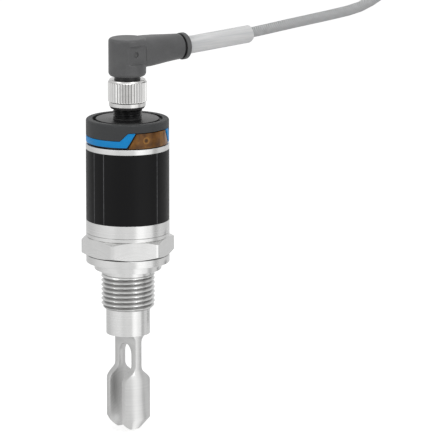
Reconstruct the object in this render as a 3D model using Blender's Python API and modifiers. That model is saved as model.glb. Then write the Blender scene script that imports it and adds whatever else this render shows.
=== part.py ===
"""Tuning fork level switch with a G 1/2 process thread and an M12 right-angle cordset.

Sizes are in millimetres and angles in degrees. MM turns a size into the scene's metres.
Z runs up the switch's axis from the sealing face under the collar, the plug's arm points
along +X, and one tine of the fork is at -Y with the other at +Y.
"""

import math

import bmesh
import bpy
from mathutils import Matrix, Vector

MM = 0.001

# How the round pieces are faceted, and how the pieces clear each other.
ROUND = 40  # facets of the large round pieces
SMALL = 20  # facets of the plug's round pieces
FINE = 10  # facets of pins, wires and screws
SEAT = 0.05  # between two flat faces that rest on each other
FIT = 0.15  # all round a piece in its bore
TILE_GAP = 0.2  # between the pieces that share the ring round the window
OVERRUN = 2.0  # how far a cut runs past the face that it opens

# Process fitting, from the sealing face at z = 0.
LOWER_COLLAR_R, LOWER_COLLAR_TOP = 13.1, 2.9
UPPER_COLLAR_R, UPPER_COLLAR_TOP = 16.3, 6.0
COLLAR_CHAMFER = 0.4
HEX_ACROSS_FLATS, HEX_TOP, HEX_TURN = 32.0, 13.2, 35.0
HEX_CHAMFER = 1.1
LAND_TOP = 14.7
UNDERCUT_R, UNDERCUT_DEPTH = 9.85, 2.1
THREAD_CREST_R, THREAD_ROOT_R, THREAD_PITCH = 10.4775, 9.3155, 1.814
THREAD_END, THREAD_CHAMFER, THREAD_FACETS = -15.6, 1.2, 30
COUNTERBORE_R, COUNTERBORE_TOP = 8.05, -9.0
THROUGH_BORE_R = 7.0
CARRIER_SEAT_Z = 8.0
HOUSING_SPIGOT_TOP = 17.4

# Tuning fork.
NECK_R, NECK_TOP, ROOT_Z = 8.6, THREAD_END - SEAT, -25.9
DIAPHRAGM = 1.2
BOSS_R, BOSS_TOP = 3.0, -22.5
BOLT_HOLE_R, BOLT_HOLE_END = 1.6, -27.6
FLARE_R, STEM_R, FLARE_END = 7.7, 7.15, -29.0
STEM_END, PADDLE_TOP, PADDLE_R = -39.7, -43.5, 8.7
CONE_TOP, TIP_Z, TIP_R = -59.4, -64.1, 4.6
STEM_HALF_WIDTH, PADDLE_HALF_WIDTH, ROOT_HALF_WIDTH = 1.4, 5.9, 2.8
ROOT_FILLET, STEM_FILLET, SHOULDER_R = 1.6, 2.0, 2.4
SLOT_HALF, SLOT_TOP = 4.05, -30.0

# Housing tube and its wrap-around label.
TUBE_R, TUBE_WALL, TUBE_TOP = 16.3, 1.45, 50.0
TUBE_BORE_R = TUBE_R - TUBE_WALL
HOUSING_SPIGOT_R = TUBE_BORE_R - FIT
CARRIER_POCKET_R = HOUSING_SPIGOT_R - 2.7
LABEL_LOW, LABEL_HIGH = 19.8, 47.85
LABEL_FLOOR_R, LABEL_R = TUBE_R - 0.4, TUBE_R - 0.05
TUBE_CHAMFER = 0.25

# Light ring with its two windows, the two stripes and the cap.
RING_R, RING_TOP = TUBE_R - 1.25, 56.4
RING_INNER_R, RING_BORE_R = RING_R - 1.85, RING_R - 2.65
BOARD_LEDGE_Z = 50.15
RING_SPIGOT_R, RING_SPIGOT_LOW = TUBE_BORE_R - FIT, 43.5
SEAL_GROOVE_R, SEAL_GROOVE_LOW, SEAL_GROOVE_HIGH = RING_SPIGOT_R - 0.6, 45.4, 46.3
SEAL_CORD_R = 0.32
TILE_INNER_R, TILE_R, WINDOW_R = RING_R + FIT, TUBE_R - 0.1, TUBE_R - 0.2
TILE_LOW, STRIPE_LOW = TUBE_TOP + 0.3, TUBE_TOP + 0.8
STRIPE_TOP, STEP_TOP = 53.3, 56.4
WINDOW_TOP_HALF, WINDOW_FOOT_HALF = 26.2, 37.6
STRIPE_TIP, STRIPE_FOOT = WINDOW_TOP_HALF + 2.0, WINDOW_FOOT_HALF + 2.6
STEP_START, STEP_END = STRIPE_TIP + 9.5, STRIPE_FOOT + 9.5
QUARTER_TURN = 90.0
WINDOW_AT = (-86.0, 94.0)
CAP_TOP, CAP_EDGE_R = 59.7, 0.8
CAP_INNER_R, GROOVE_R, GROOVE_FLOOR = TUBE_R - 3.8, TUBE_R - 2.65, 58.9
LEDGE_LOW = 58.1
FRONT_SLOT, BACK_SLOT = (235.5, 300.0), (96.0, 148.0)

# Connector body, its pins and the M12 stub.
DISC_R, FLANGE_R = CAP_INNER_R - FIT, CAP_INNER_R + 0.9
FLANGE_LOW, FLANGE_HIGH = 56.45, 58.05
BARREL_R, BARREL_LOW = 6.0, 53.6
STUB_CREST_R, STUB_ROOT_R, STUB_PITCH, STUB_TOP = 5.8, 5.2, 1.0, 70.5
STUB_BORE_R, STUB_FLOOR = 4.3, 62.0
STUB_RELIEF_TOP = 60.3
PIN_R, PIN_CIRCLE_R, PIN_LOW, PIN_HIGH, PIN_HOLE_R = 0.5, 2.7, 49.8, 68.0, 0.6
PIN_TURNS = (45.0, 135.0, 225.0, 315.0)

# Coupling nut.
NUT_LOW, NUT_HIGH, NUT_R, NUT_GROOVE_R = 63.7, 75.05, 7.6, 7.15
NUT_RIBS, RIB_LOW, RIB_HIGH = 40, 66.6, 74.1
NUT_BORE_R, NUT_LIP_R, NUT_LIP_LOW = 5.98, 5.2, 73.55

# Elbow of the plug.
DRUM_R, DRUM_LOW, DRUM_HIGH, DRUM_EDGE_R, DRUM_CHAMFER = 7.35, 76.6, 91.3, 1.2, 0.9
PLUG_NECK_R, PLUG_NECK_LOW = 5.05, 73.2
PLUG_FLANGE_R, PLUG_FLANGE_LOW = 5.6, 71.9
ARM_AXIS_Z = 85.3
PANEL_HALF_Y, PANEL_LOW, PANEL_HIGH, PANEL_END_X = 6.3, 81.5, 88.7, 4.6
DIMPLE_R, DIMPLE_DEPTH = 1.0, 0.6
ARM_END_R, ARM_GROOVE_R, ARM_END_X, ARM_END_RING = 5.3, 4.2, 27.5, 2.2
ARM_GROOVE_WIDTH = 0.9
CORD_BORE_R, CORD_BORE_X, CORE_WAY_R = 2.3, -2.6, 2.1
INSERT_SOCKET_R, INSERT_SOCKET_TOP = 4.2, 75.0

# Insert of the plug, its contacts, the face seal and the marker sleeve.
INSERT_R, INSERT_LOW = 4.1, 62.2
CONTACT_R, CONTACT_BORE_R, CONTACT_LOW, CONTACT_HIGH = 0.75, 0.6, 63.0, 74.5
CONTACT_HOLE_R = 0.85
PLUG_SEAL_R, PLUG_SEAL_CORD_R, PLUG_SEAL_Z = 4.95, 0.6, 71.2
SLEEVE_R, SLEEVE_BORE_R, SLEEVE_START_X, SLEEVE_END_X = 3.5, 2.75, 27.8, 58.5
SLEEVE_RISE = 2.8
SLEEVE_SLANT = 22.0

# Electronics.
SIGNAL_BOARD_R, SIGNAL_BOARD_LOW, SIGNAL_BOARD_HIGH = RING_INNER_R - 0.3, 50.2, 51.4
LED_SIZE, LED_AT_R, LED_TURNS = (2.4, 1.6, 1.4), 11.0, (-98.0, -74.0, 82.0, 106.0)
BOARD_HALF_WIDTH, BOARD_THICK, BOARD_LOW, BOARD_HIGH = 12.0, 1.2, 18.2, 50.1
TAB_HALF_WIDTH, TAB_LOW = 8.0, 9.0
CARRIER_R, CARRIER_HIGH = CARRIER_POCKET_R - FIT, 12.0
CARRIER_HOLE_R, CARRIER_HOLE_Y = 3.0, 5.0
CHIP_SIZE, CHIP_AT = (7.0, 1.0, 7.0), (-3.0, 34.0)
INDUCTOR_R, INDUCTOR_HEIGHT, INDUCTOR_AT = 3.5, 3.6, (5.5, 26.0)
CAPACITOR_R, CAPACITOR_HEIGHT, CAPACITOR_AT = 3.0, 7.5, (4.0, 41.0)
TERMINAL_SIZE, TERMINAL_AT = (9.0, 3.4, 3.6), (0.0, 20.4)

# Piezo drive, clamped on the fork's boss.
STACK_R, STACK_BORE_R = 5.5, 1.8
INSULATOR_THICK, PIEZO_THICK, ELECTRODE_THICK = 1.0, 1.0, 0.3
PIEZO_RINGS = 4
WASHER_R, WASHER_THICK = 3.2, 0.5
BOLT_R, BOLT_HEAD_R, BOLT_HEAD_HEIGHT = 1.5, 2.75, 2.0
BOLT_SOCKET_R, BOLT_SOCKET_DEPTH = 1.44, 1.3
TAB_REACH_R, TAB_WIDTH = 6.5, 1.6
LEAD_R, LEAD_AT_R, LEAD_TURNS = 0.4, 6.0, (60.0, 90.0, 120.0)

# Cord: the hanging run, the tied hank on the floor and the stripped tail.
CORD_R = 2.1
CORD_SIDES_LEVEL = 2
CORD_ROUTE = [
    (12.0, 0.0, 85.3), (27.0, 0.0, 85.3), (42.0, 0.0, 86.0), (58.5, 0.0, 87.1),
    (80.0, 0.0, 88.85), (100.0, 0.0, 90.4), (110.0, 0.0, 91.4), (116.0, 0.0, 92.7),
    (122.0, 0.0, 95.1), (129.0, 0.0, 98.4), (137.0, 0.0, 101.1), (146.0, 0.0, 101.9),
    (154.5, 0.0, 99.2), (161.0, 0.0, 92.8), (164.6, 0.0, 84.0), (165.8, 0.0, 73.0),
    (166.0, 0.0, 60.0), (166.0, 0.0, 40.0), (166.0, 0.0, 20.0), (166.0, 0.0, 0.0),
    (166.0, 0.0, -17.0), (168.2, -0.3, -29.5), (175.0, -1.5, -37.6), (185.0, -3.5, -40.4),
    (197.0, -5.3, -40.6),
]
CORD_SPACING = 9.0
HANK_NEAR_X, HANK_LAYERS, HANK_TRACKS = 166.0, 5, 2
HANK_HALF_STRAIGHT, HANK_FOLD_R = 20.0, 12.7
HANK_PINCH = 8.0
FLOOR_Z = -65.0
HANK_EDGE = 1.6
TIE_THICK, TIE_WIDTH, TIE_GAP = 0.6, 2.5, 0.3
TAIL_Y, TAIL_END_X, CORE_END_X = -17.0, 254.0, 270.0
CORE_R, CORE_SPREAD = 0.65, 0.85
CORE_FAN = 1.3

# Finishes: base colour, metallic and roughness.
STEEL = ((0.62, 0.62, 0.60), 1.0, 0.32)
NICKEL = ((0.74, 0.73, 0.70), 1.0, 0.22)
LABEL = ((0.012, 0.012, 0.013), 0.0, 0.42)
CAP_GREY = ((0.055, 0.057, 0.06), 0.0, 0.5)
STRIPE_BLUE = ((0.0, 0.26, 0.72), 0.0, 0.4)
AMBER = ((0.24, 0.09, 0.02), 0.0, 0.15)
BLACK_PLASTIC = ((0.014, 0.014, 0.015), 0.0, 0.4)
ELBOW_GREY = ((0.08, 0.082, 0.085), 0.0, 0.55)
RUBBER = ((0.01, 0.01, 0.01), 0.0, 0.7)
SLEEVE_CLEAR = ((0.75, 0.76, 0.77), 0.0, 0.3)
CORD_GREY = ((0.36, 0.37, 0.38), 0.0, 0.5)
GOLD = ((0.9, 0.63, 0.22), 1.0, 0.25)
SILVER = ((0.85, 0.84, 0.8), 1.0, 0.3)
BOARD_GREEN = ((0.02, 0.14, 0.05), 0.0, 0.45)
LED_WHITE = ((0.8, 0.8, 0.7), 0.0, 0.3)
CERAMIC = ((0.72, 0.69, 0.6), 0.0, 0.5)
CAN_GREY = ((0.5, 0.51, 0.53), 1.0, 0.35)
INNER_GREY = ((0.16, 0.16, 0.17), 0.0, 0.6)
CORE_COLOURS = {
    "core_wire_brown": ((0.13, 0.05, 0.02), 0.0, 0.45),
    "core_wire_white": ((0.8, 0.8, 0.78), 0.0, 0.45),
    "core_wire_blue": ((0.02, 0.1, 0.5), 0.0, 0.45),
    "core_wire_black": ((0.015, 0.015, 0.015), 0.0, 0.45),
}
LEAD_RED = ((0.5, 0.02, 0.02), 0.0, 0.45)
SMOOTH_BELOW = 32.0  # faces that meet at less than this angle are shaded as one surface


def cleared_scene():
    for obj in list(bpy.data.objects):
        bpy.data.objects.remove(obj)
    made = []
    for name in ("tuning_fork_level_switch", "cutters"):
        collection = bpy.data.collections.new(name)
        bpy.context.scene.collection.children.link(collection)
        made.append(collection)
    made[1].hide_render = True
    return made


PARTS, CUTTERS = cleared_scene()


# Shapes. Each function below makes a closed body among the cutters.
def body(name, mesh):
    obj = bpy.data.objects.new(name, mesh)
    CUTTERS.objects.link(obj)
    obj.display_type = "WIRE"
    obj.hide_render = True
    return obj


def outward(mesh):
    """Welds the mesh, drops its empty faces and turns every face out."""
    shape = bmesh.new()
    shape.from_mesh(mesh)
    bmesh.ops.remove_doubles(shape, verts=shape.verts, dist=1e-6)
    bmesh.ops.dissolve_degenerate(shape, edges=shape.edges, dist=1e-7)
    bmesh.ops.recalc_face_normals(shape, faces=shape.faces)
    if shape.calc_volume(signed=True) < 0:
        bmesh.ops.reverse_faces(shape, faces=shape.faces)
    shape.to_mesh(mesh)
    shape.free()
    return mesh


def applied(obj):
    """The object with its modifiers made part of its mesh."""
    graph = bpy.context.evaluated_depsgraph_get()
    mesh = bpy.data.meshes.new_from_object(obj.evaluated_get(graph))
    obj.modifiers.clear()
    obj.data = mesh
    return obj


def turned(profile, facets=ROUND, place=None, closed=False, start=0.0):
    """Turns (radius, height) points round the axis, given down the outer side."""
    mesh = bpy.data.meshes.new("turned")
    points = [(r * MM, 0.0, z * MM) for r, z in profile]
    pairs = [(i, i + 1) for i in range(len(points) - 1)]
    if closed:
        pairs.append((len(points) - 1, 0))
    mesh.from_pydata(points, pairs, [])
    obj = body("turned", mesh)
    screw = obj.modifiers.new("turn", "SCREW")
    screw.steps = screw.render_steps = facets
    screw.use_merge_vertices = True
    screw.merge_threshold = 1e-6
    applied(obj)
    outward(obj.data)
    obj.data.transform(Matrix.Rotation(math.radians(start), 4, "Z"))
    if place is not None:
        obj.data.transform(place)
    return obj


def rod(radius, low, high, facets=ROUND, at=(0.0, 0.0), start=0.0):
    place = Matrix.Translation((at[0] * MM, at[1] * MM, 0.0))
    return turned([(0, high), (radius, high), (radius, low), (0, low)], facets, place, start=start)


def tube_ring(outer, inner, low, high, facets=ROUND, at=(0.0, 0.0)):
    place = Matrix.Translation((at[0] * MM, at[1] * MM, 0.0))
    profile = [(outer, high), (outer, low), (inner, low), (inner, high)]
    return turned(profile, facets, place, closed=True)


def seal_ring(radius, cord_radius, height, facets=ROUND, sides=8):
    """A round cord bent into a ring."""
    around = [math.tau * i / sides for i in range(sides)]
    profile = [
        (radius + cord_radius * math.cos(a), height - cord_radius * math.sin(a)) for a in around
    ]
    return turned(profile, facets, closed=True)


def block(low, high):
    size = [(h - l) * MM for l, h in zip(low, high)]
    middle = [(h + l) / 2 * MM for l, h in zip(low, high)]
    shape = bmesh.new()
    bmesh.ops.create_cube(
        shape, size=1.0, matrix=Matrix.Translation(middle) @ Matrix.Diagonal((*size, 1.0))
    )
    mesh = bpy.data.meshes.new("block")
    shape.to_mesh(mesh)
    shape.free()
    return body("block", mesh)


def rounded(corners, steps=4):
    """An outline whose (x, y, radius) corners are rounded."""
    outline = []
    count = len(corners)
    for i, (x, y, radius) in enumerate(corners):
        here = Vector((x, y))
        back = (Vector(corners[i - 1][:2]) - here).normalized()
        on = (Vector(corners[(i + 1) % count][:2]) - here).normalized()
        half = math.acos(max(-1.0, min(1.0, back.dot(on)))) / 2
        if radius == 0 or half < 1e-3 or half > math.pi / 2 - 1e-3:
            outline.append((x, y))
            continue
        reach = radius / math.tan(half)
        centre = here + (back + on).normalized() * (radius / math.sin(half))
        first, last = here + back * reach - centre, here + on * reach - centre
        swing = first.angle_signed(last)
        for step in range(steps + 1):
            turn = Matrix.Rotation(-swing * step / steps, 2)
            outline.append(tuple(centre + turn @ first))
    return outline


# Each plane's matrix takes (x, y, height) of an outline to the plane's own directions.
PLANES = {
    "XY": Matrix.Identity(4),
    "XZ": Matrix(((1, 0, 0, 0), (0, 0, 1, 0), (0, 1, 0, 0), (0, 0, 0, 1))),
    "YZ": Matrix(((0, 0, 1, 0), (1, 0, 0, 0), (0, 1, 0, 0), (0, 0, 0, 1))),
}


def prism(outline, low, high, plane="XY"):
    """The outline, drawn in a plane, extruded between two heights over it."""
    shape = bmesh.new()
    floor = shape.faces.new([shape.verts.new((x * MM, y * MM, low * MM)) for x, y in outline])
    grown = bmesh.ops.extrude_face_region(shape, geom=[floor])
    lifted = [item for item in grown["geom"] if isinstance(item, bmesh.types.BMVert)]
    bmesh.ops.translate(shape, verts=lifted, vec=(0, 0, (high - low) * MM))
    mesh = bpy.data.meshes.new("prism")
    shape.to_mesh(mesh)
    shape.free()
    mesh.transform(PLANES[plane])
    outward(mesh)
    return body("prism", mesh)


def lofted(sections, closed=False):
    """A skin over sections that have the same number of points, with flat ends or a closed loop."""
    shape = bmesh.new()
    rows = [[shape.verts.new([c * MM for c in point]) for point in row] for row in sections]
    pairs = list(zip(rows, rows[1:])) + ([(rows[-1], rows[0])] if closed else [])
    for here, there in pairs:
        for i in range(len(here)):
            j = (i + 1) % len(here)
            shape.faces.new((here[i], here[j], there[j], there[i]))
    if not closed:
        shape.faces.new(rows[0])
        shape.faces.new(rows[-1])
    mesh = bpy.data.meshes.new("loft")
    shape.to_mesh(mesh)
    shape.free()
    outward(mesh)
    return body("loft", mesh)


def between(x, knots):
    """The heights at x of a line through (x, height, height...) knots."""
    for a, b in zip(knots, knots[1:]):
        if x <= b[0]:
            share = (x - a[0]) / (b[0] - a[0])
            return [p + (q - p) * share for p, q in zip(a[1:], b[1:])]
    return list(knots[-1][1:])


def arc_band(knots, inner, outer):
    """A tile of a ring: knots are (angle, low, high), with the ring's own facets between them."""
    facet = 360.0 / ROUND
    turns = {k[0] for k in knots}
    first, last = math.ceil(knots[0][0] / facet), math.floor(knots[-1][0] / facet)
    turns |= {
        i * facet
        for i in range(first, last + 1)
        if min(abs(i * facet - k[0]) for k in knots) > 1.0
    }
    sections = []
    for turn in sorted(turns):
        low, high = between(turn, knots)
        c, s = math.cos(math.radians(turn)), math.sin(math.radians(turn))
        row = [(inner, low), (outer, low), (outer, high), (inner, high)]
        sections.append([(r * c, r * s, z) for r, z in row])
    return lofted(sections)


def boolean(obj, others, operation):
    for other in others:
        modifier = obj.modifiers.new(operation.lower(), "BOOLEAN")
        modifier.operation, modifier.solver, modifier.object = operation, "EXACT", other
        outward(applied(obj).data)
    return obj


def cut(obj, *others):
    return boolean(obj, others, "DIFFERENCE")


def joined(obj, *others):
    return boolean(obj, others, "UNION")


def kept(obj, *others):
    return boolean(obj, others, "INTERSECT")


def softened(obj, width, segments=2, angle=40.0):
    """Bevels the edges that are sharper than the angle."""
    bevel = obj.modifiers.new("edges", "BEVEL")
    bevel.width, bevel.segments, bevel.limit_method = width * MM, segments, "ANGLE"
    bevel.angle_limit = math.radians(angle)
    return applied(obj)


def threaded(crest, root, pitch, low, high, facets):
    """A threaded rod, cut square at both ends."""
    turns = math.ceil((high - low) / pitch) + 3
    base = low - 1.5 * pitch
    ridge = [(crest, 0.0), (root, 0.5 * pitch), (crest, pitch)]
    mesh = bpy.data.meshes.new("thread")
    points = [(r * MM, 0.0, (base + z) * MM) for r, z in ridge]
    mesh.from_pydata(points, [(i, i + 1) for i in range(len(points) - 1)], [])
    obj = body("thread", mesh)
    screw = obj.modifiers.new("turn", "SCREW")
    screw.steps = screw.render_steps = facets
    screw.screw_offset, screw.iterations = pitch * MM, turns
    screw.use_merge_vertices = False
    applied(obj)
    shape = bmesh.new()
    shape.from_mesh(obj.data)
    bmesh.ops.remove_doubles(shape, verts=shape.verts, dist=1e-6)
    for height, side in ((low, -1), (high, 1)):
        bmesh.ops.bisect_plane(
            shape,
            geom=shape.verts[:] + shape.edges[:] + shape.faces[:],
            dist=1e-7,
            plane_co=(0, 0, height * MM),
            plane_no=(0, 0, side),
            clear_outer=True,
        )
        rim = [e for e in shape.edges if e.is_boundary and all(
            abs(v.co.z - height * MM) < 1e-6 for v in e.verts)]
        bmesh.ops.edgeloop_fill(shape, edges=rim)
    shape.to_mesh(obj.data)
    shape.free()
    outward(obj.data)
    return obj


def smooth_route(route, spacing):
    """Points at an even spacing along a smooth curve through the route's points."""
    points = [Vector(p) for p in route]
    ends = [points[0] * 2 - points[1], *points, points[-1] * 2 - points[-2]]
    fine = []
    for a, b, c, d in zip(ends, ends[1:], ends[2:], ends[3:]):
        chord = (c - b).length
        lean_b = (c - a) / max((c - b).length + (b - a).length, 1e-9) * chord
        lean_c = (d - b) / max((d - c).length + (c - b).length, 1e-9) * chord
        for step in range(24):
            t = step / 24
            fine.append(
                b * (2 * t**3 - 3 * t**2 + 1)
                + lean_b * (t**3 - 2 * t**2 + t)
                + c * (3 * t**2 - 2 * t**3)
                + lean_c * (t**3 - t**2)
            )
    fine.append(points[-1])
    lengths = [0.0]
    for p, q in zip(fine, fine[1:]):
        lengths.append(lengths[-1] + (q - p).length)
    count = max(2, round(lengths[-1] / spacing))
    even, at = [], 0
    for i in range(count + 1):
        want = lengths[-1] * i / count
        while at < len(fine) - 2 and lengths[at + 1] < want:
            at += 1
        share = (want - lengths[at]) / max(lengths[at + 1] - lengths[at], 1e-9)
        even.append(fine[at].lerp(fine[at + 1], min(share, 1.0)))
    return even


def wire(points, radius, level=CORD_SIDES_LEVEL):
    """A round tube along the points, with flat filled ends."""
    curve = bpy.data.curves.new("wire", "CURVE")
    curve.dimensions = "3D"
    curve.bevel_depth, curve.bevel_resolution, curve.use_fill_caps = radius * MM, int(level), True
    spline = curve.splines.new("POLY")
    spline.points.add(len(points) - 1)
    for point, place in zip(spline.points, points):
        point.co = (*[c * MM for c in place], 1.0)
    guide = bpy.data.objects.new("wire_guide", curve)
    CUTTERS.objects.link(guide)
    graph = bpy.context.evaluated_depsgraph_get()
    mesh = bpy.data.meshes.new_from_object(guide.evaluated_get(graph))
    bpy.data.objects.remove(guide)
    outward(mesh)
    return body("wire", mesh)


def node(name, obj, finish):
    """Makes the body a named piece with its own finish."""
    colour, metallic, roughness = finish
    material = bpy.data.materials.new(name)
    material.use_nodes = True
    principled = material.node_tree.nodes["Principled BSDF"]
    principled.inputs["Base Color"].default_value = (*colour, 1.0)
    principled.inputs["Metallic"].default_value = metallic
    principled.inputs["Roughness"].default_value = roughness
    material.diffuse_color = (*colour, 1.0)
    outward(obj.data)
    obj.data.materials.clear()
    obj.data.materials.append(material)
    obj.data.polygons.foreach_set("use_smooth", [True] * len(obj.data.polygons))
    obj.data.set_sharp_from_angle(angle=math.radians(SMOOTH_BELOW))
    obj.name = obj.data.name = name
    CUTTERS.objects.unlink(obj)
    PARTS.objects.link(obj)
    obj.display_type, obj.hide_render = "TEXTURED", False
    return obj


# Process fitting: collars, chamfered hexagon, thread, bores and the spigot for the housing.
def process_fitting():
    profile = [
        (0, HOUSING_SPIGOT_TOP),
        (HOUSING_SPIGOT_R, HOUSING_SPIGOT_TOP),
        (HOUSING_SPIGOT_R, LAND_TOP),
        (TUBE_R, LAND_TOP),
        (TUBE_R, HEX_TOP),
        (HOUSING_SPIGOT_R, HEX_TOP),
        (HOUSING_SPIGOT_R, UPPER_COLLAR_TOP),
        (UPPER_COLLAR_R - COLLAR_CHAMFER, UPPER_COLLAR_TOP),
        (UPPER_COLLAR_R, UPPER_COLLAR_TOP - COLLAR_CHAMFER),
        (UPPER_COLLAR_R, LOWER_COLLAR_TOP + COLLAR_CHAMFER),
        (UPPER_COLLAR_R - COLLAR_CHAMFER, LOWER_COLLAR_TOP),
        (LOWER_COLLAR_R, LOWER_COLLAR_TOP),
        (LOWER_COLLAR_R, COLLAR_CHAMFER),
        (LOWER_COLLAR_R - COLLAR_CHAMFER, 0),
        (UNDERCUT_R, 0),
        (UNDERCUT_R, -UNDERCUT_DEPTH),
        (UNDERCUT_R - 1.0, -UNDERCUT_DEPTH),
        (UNDERCUT_R - 1.0, -2 * UNDERCUT_DEPTH),
        (0, -2 * UNDERCUT_DEPTH),
    ]
    fitting = turned(profile)
    hexagon = rod(
        HEX_ACROSS_FLATS / 2 / math.cos(math.pi / 6),
        UPPER_COLLAR_TOP - SEAT,
        HEX_TOP + SEAT,
        facets=6,
        start=HEX_TURN,
    )
    corner = HEX_ACROSS_FLATS / 2 / math.cos(math.pi / 6)
    slope = HEX_CHAMFER / (corner - UPPER_COLLAR_R)
    wide = corner + OVERRUN
    fall = slope * (wide - UPPER_COLLAR_R)
    facing = turned(
        [
            (0, HEX_TOP + SEAT),
            (UPPER_COLLAR_R, HEX_TOP + SEAT),
            (wide, HEX_TOP - fall),
            (wide, UPPER_COLLAR_TOP + fall),
            (UPPER_COLLAR_R, UPPER_COLLAR_TOP - SEAT),
            (0, UPPER_COLLAR_TOP - SEAT),
        ]
    )
    kept(hexagon, facing)
    thread = threaded(
        THREAD_CREST_R,
        THREAD_ROOT_R,
        THREAD_PITCH,
        THREAD_END,
        -UNDERCUT_DEPTH,
        THREAD_FACETS,
    )
    lead_in = turned(
        [
            (0, OVERRUN),
            (THREAD_CREST_R + OVERRUN, OVERRUN),
            (THREAD_CREST_R + OVERRUN, THREAD_END + THREAD_CHAMFER + OVERRUN),
            (THREAD_CREST_R - THREAD_CHAMFER, THREAD_END - SEAT),
            (0, THREAD_END - SEAT),
        ]
    )
    kept(thread, lead_in)
    joined(fitting, hexagon, thread)
    bores = turned(
        [
            (0, HOUSING_SPIGOT_TOP + OVERRUN),
            (CARRIER_POCKET_R, HOUSING_SPIGOT_TOP + OVERRUN),
            (CARRIER_POCKET_R, CARRIER_SEAT_Z),
            (THROUGH_BORE_R, CARRIER_SEAT_Z),
            (THROUGH_BORE_R, COUNTERBORE_TOP),
            (COUNTERBORE_R, COUNTERBORE_TOP),
            (COUNTERBORE_R, THREAD_END - OVERRUN),
            (0, THREAD_END - OVERRUN),
        ]
    )
    cut(fitting, bores)
    return node("process_fitting", fitting, STEEL)


# Tuning fork: the turned shape, narrowed to the paddles' flat outline and slotted, under a neck
# that is turned hollow down to the diaphragm.
def fork_outline():
    right = [
        (ROOT_HALF_WIDTH, ROOT_Z + SEAT, 0),
        (STEM_HALF_WIDTH, ROOT_Z - ROOT_FILLET, ROOT_FILLET),
        (STEM_HALF_WIDTH, STEM_END, STEM_FILLET),
        (PADDLE_HALF_WIDTH, PADDLE_TOP, SHOULDER_R),
        (PADDLE_HALF_WIDTH, TIP_Z - OVERRUN, 0),
    ]
    left = [(-x, z, r) for x, z, r in reversed(right)]
    return rounded(right + left)


def slot_outline():
    centre = SLOT_TOP - SLOT_HALF
    steps = 16
    arch = [
        (
            SLOT_HALF * math.cos(math.pi * i / steps),
            centre + SLOT_HALF * math.sin(math.pi * i / steps),
        )
        for i in range(steps + 1)
    ]
    return arch + [(-SLOT_HALF, TIP_Z - OVERRUN), (SLOT_HALF, TIP_Z - OVERRUN)]


def tuning_fork():
    flare = [
        (STEM_R + (FLARE_R - STEM_R) * (1 - math.sin(math.pi / 2 * share)),
         ROOT_Z + (FLARE_END - ROOT_Z) * share)
        for share in (0.2, 0.45, 0.7, 1.0)
    ]
    tines = turned(
        [(0, ROOT_Z + SEAT), (FLARE_R, ROOT_Z + SEAT)]
        + flare
        + [
            (STEM_R, STEM_END),
            (PADDLE_R, PADDLE_TOP),
            (PADDLE_R, CONE_TOP),
            (TIP_R, TIP_Z),
            (0, TIP_Z),
        ]
    )
    wide = PADDLE_R + OVERRUN
    kept(tines, prism(fork_outline(), -wide, wide, "XZ"))
    cut(tines, prism(slot_outline(), -wide, wide, "YZ"))
    neck = turned(
        [
            (0, COUNTERBORE_TOP - SEAT),
            (COUNTERBORE_R - FIT, COUNTERBORE_TOP - SEAT),
            (COUNTERBORE_R - FIT, NECK_TOP),
            (NECK_R, NECK_TOP),
            (NECK_R, ROOT_Z),
            (0, ROOT_Z),
        ]
    )
    fork = joined(neck, tines)
    hollow = turned(
        [
            (BOSS_R, COUNTERBORE_TOP + OVERRUN),
            (THROUGH_BORE_R, COUNTERBORE_TOP + OVERRUN),
            (THROUGH_BORE_R, ROOT_Z + DIAPHRAGM),
            (BOSS_R, ROOT_Z + DIAPHRAGM),
        ],
        closed=True,
    )
    above_boss = rod(BOSS_R + 2 * SEAT, BOSS_TOP, COUNTERBORE_TOP + OVERRUN)
    bolt_hole = rod(BOLT_HOLE_R, BOLT_HOLE_END, BOSS_TOP + OVERRUN, facets=FINE)
    cut(fork, hollow, above_boss, bolt_hole)
    return node("tuning_fork", fork, STEEL)


# Housing tube and label.
def housing_tube():
    profile = [
        (TUBE_R - TUBE_CHAMFER, TUBE_TOP),
        (TUBE_R, TUBE_TOP - TUBE_CHAMFER),
        (TUBE_R, LABEL_HIGH),
        (LABEL_FLOOR_R, LABEL_HIGH),
        (LABEL_FLOOR_R, LABEL_LOW),
        (TUBE_R, LABEL_LOW),
        (TUBE_R, LAND_TOP + SEAT),
        (TUBE_BORE_R, LAND_TOP + SEAT),
        (TUBE_BORE_R, TUBE_TOP),
    ]
    return node("housing_tube", turned(profile, closed=True), STEEL)


def wrap_label():
    ring = tube_ring(LABEL_R, LABEL_FLOOR_R + SEAT, LABEL_LOW + SEAT, LABEL_HIGH - SEAT)
    return node("wrap_label", ring, LABEL)


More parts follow.
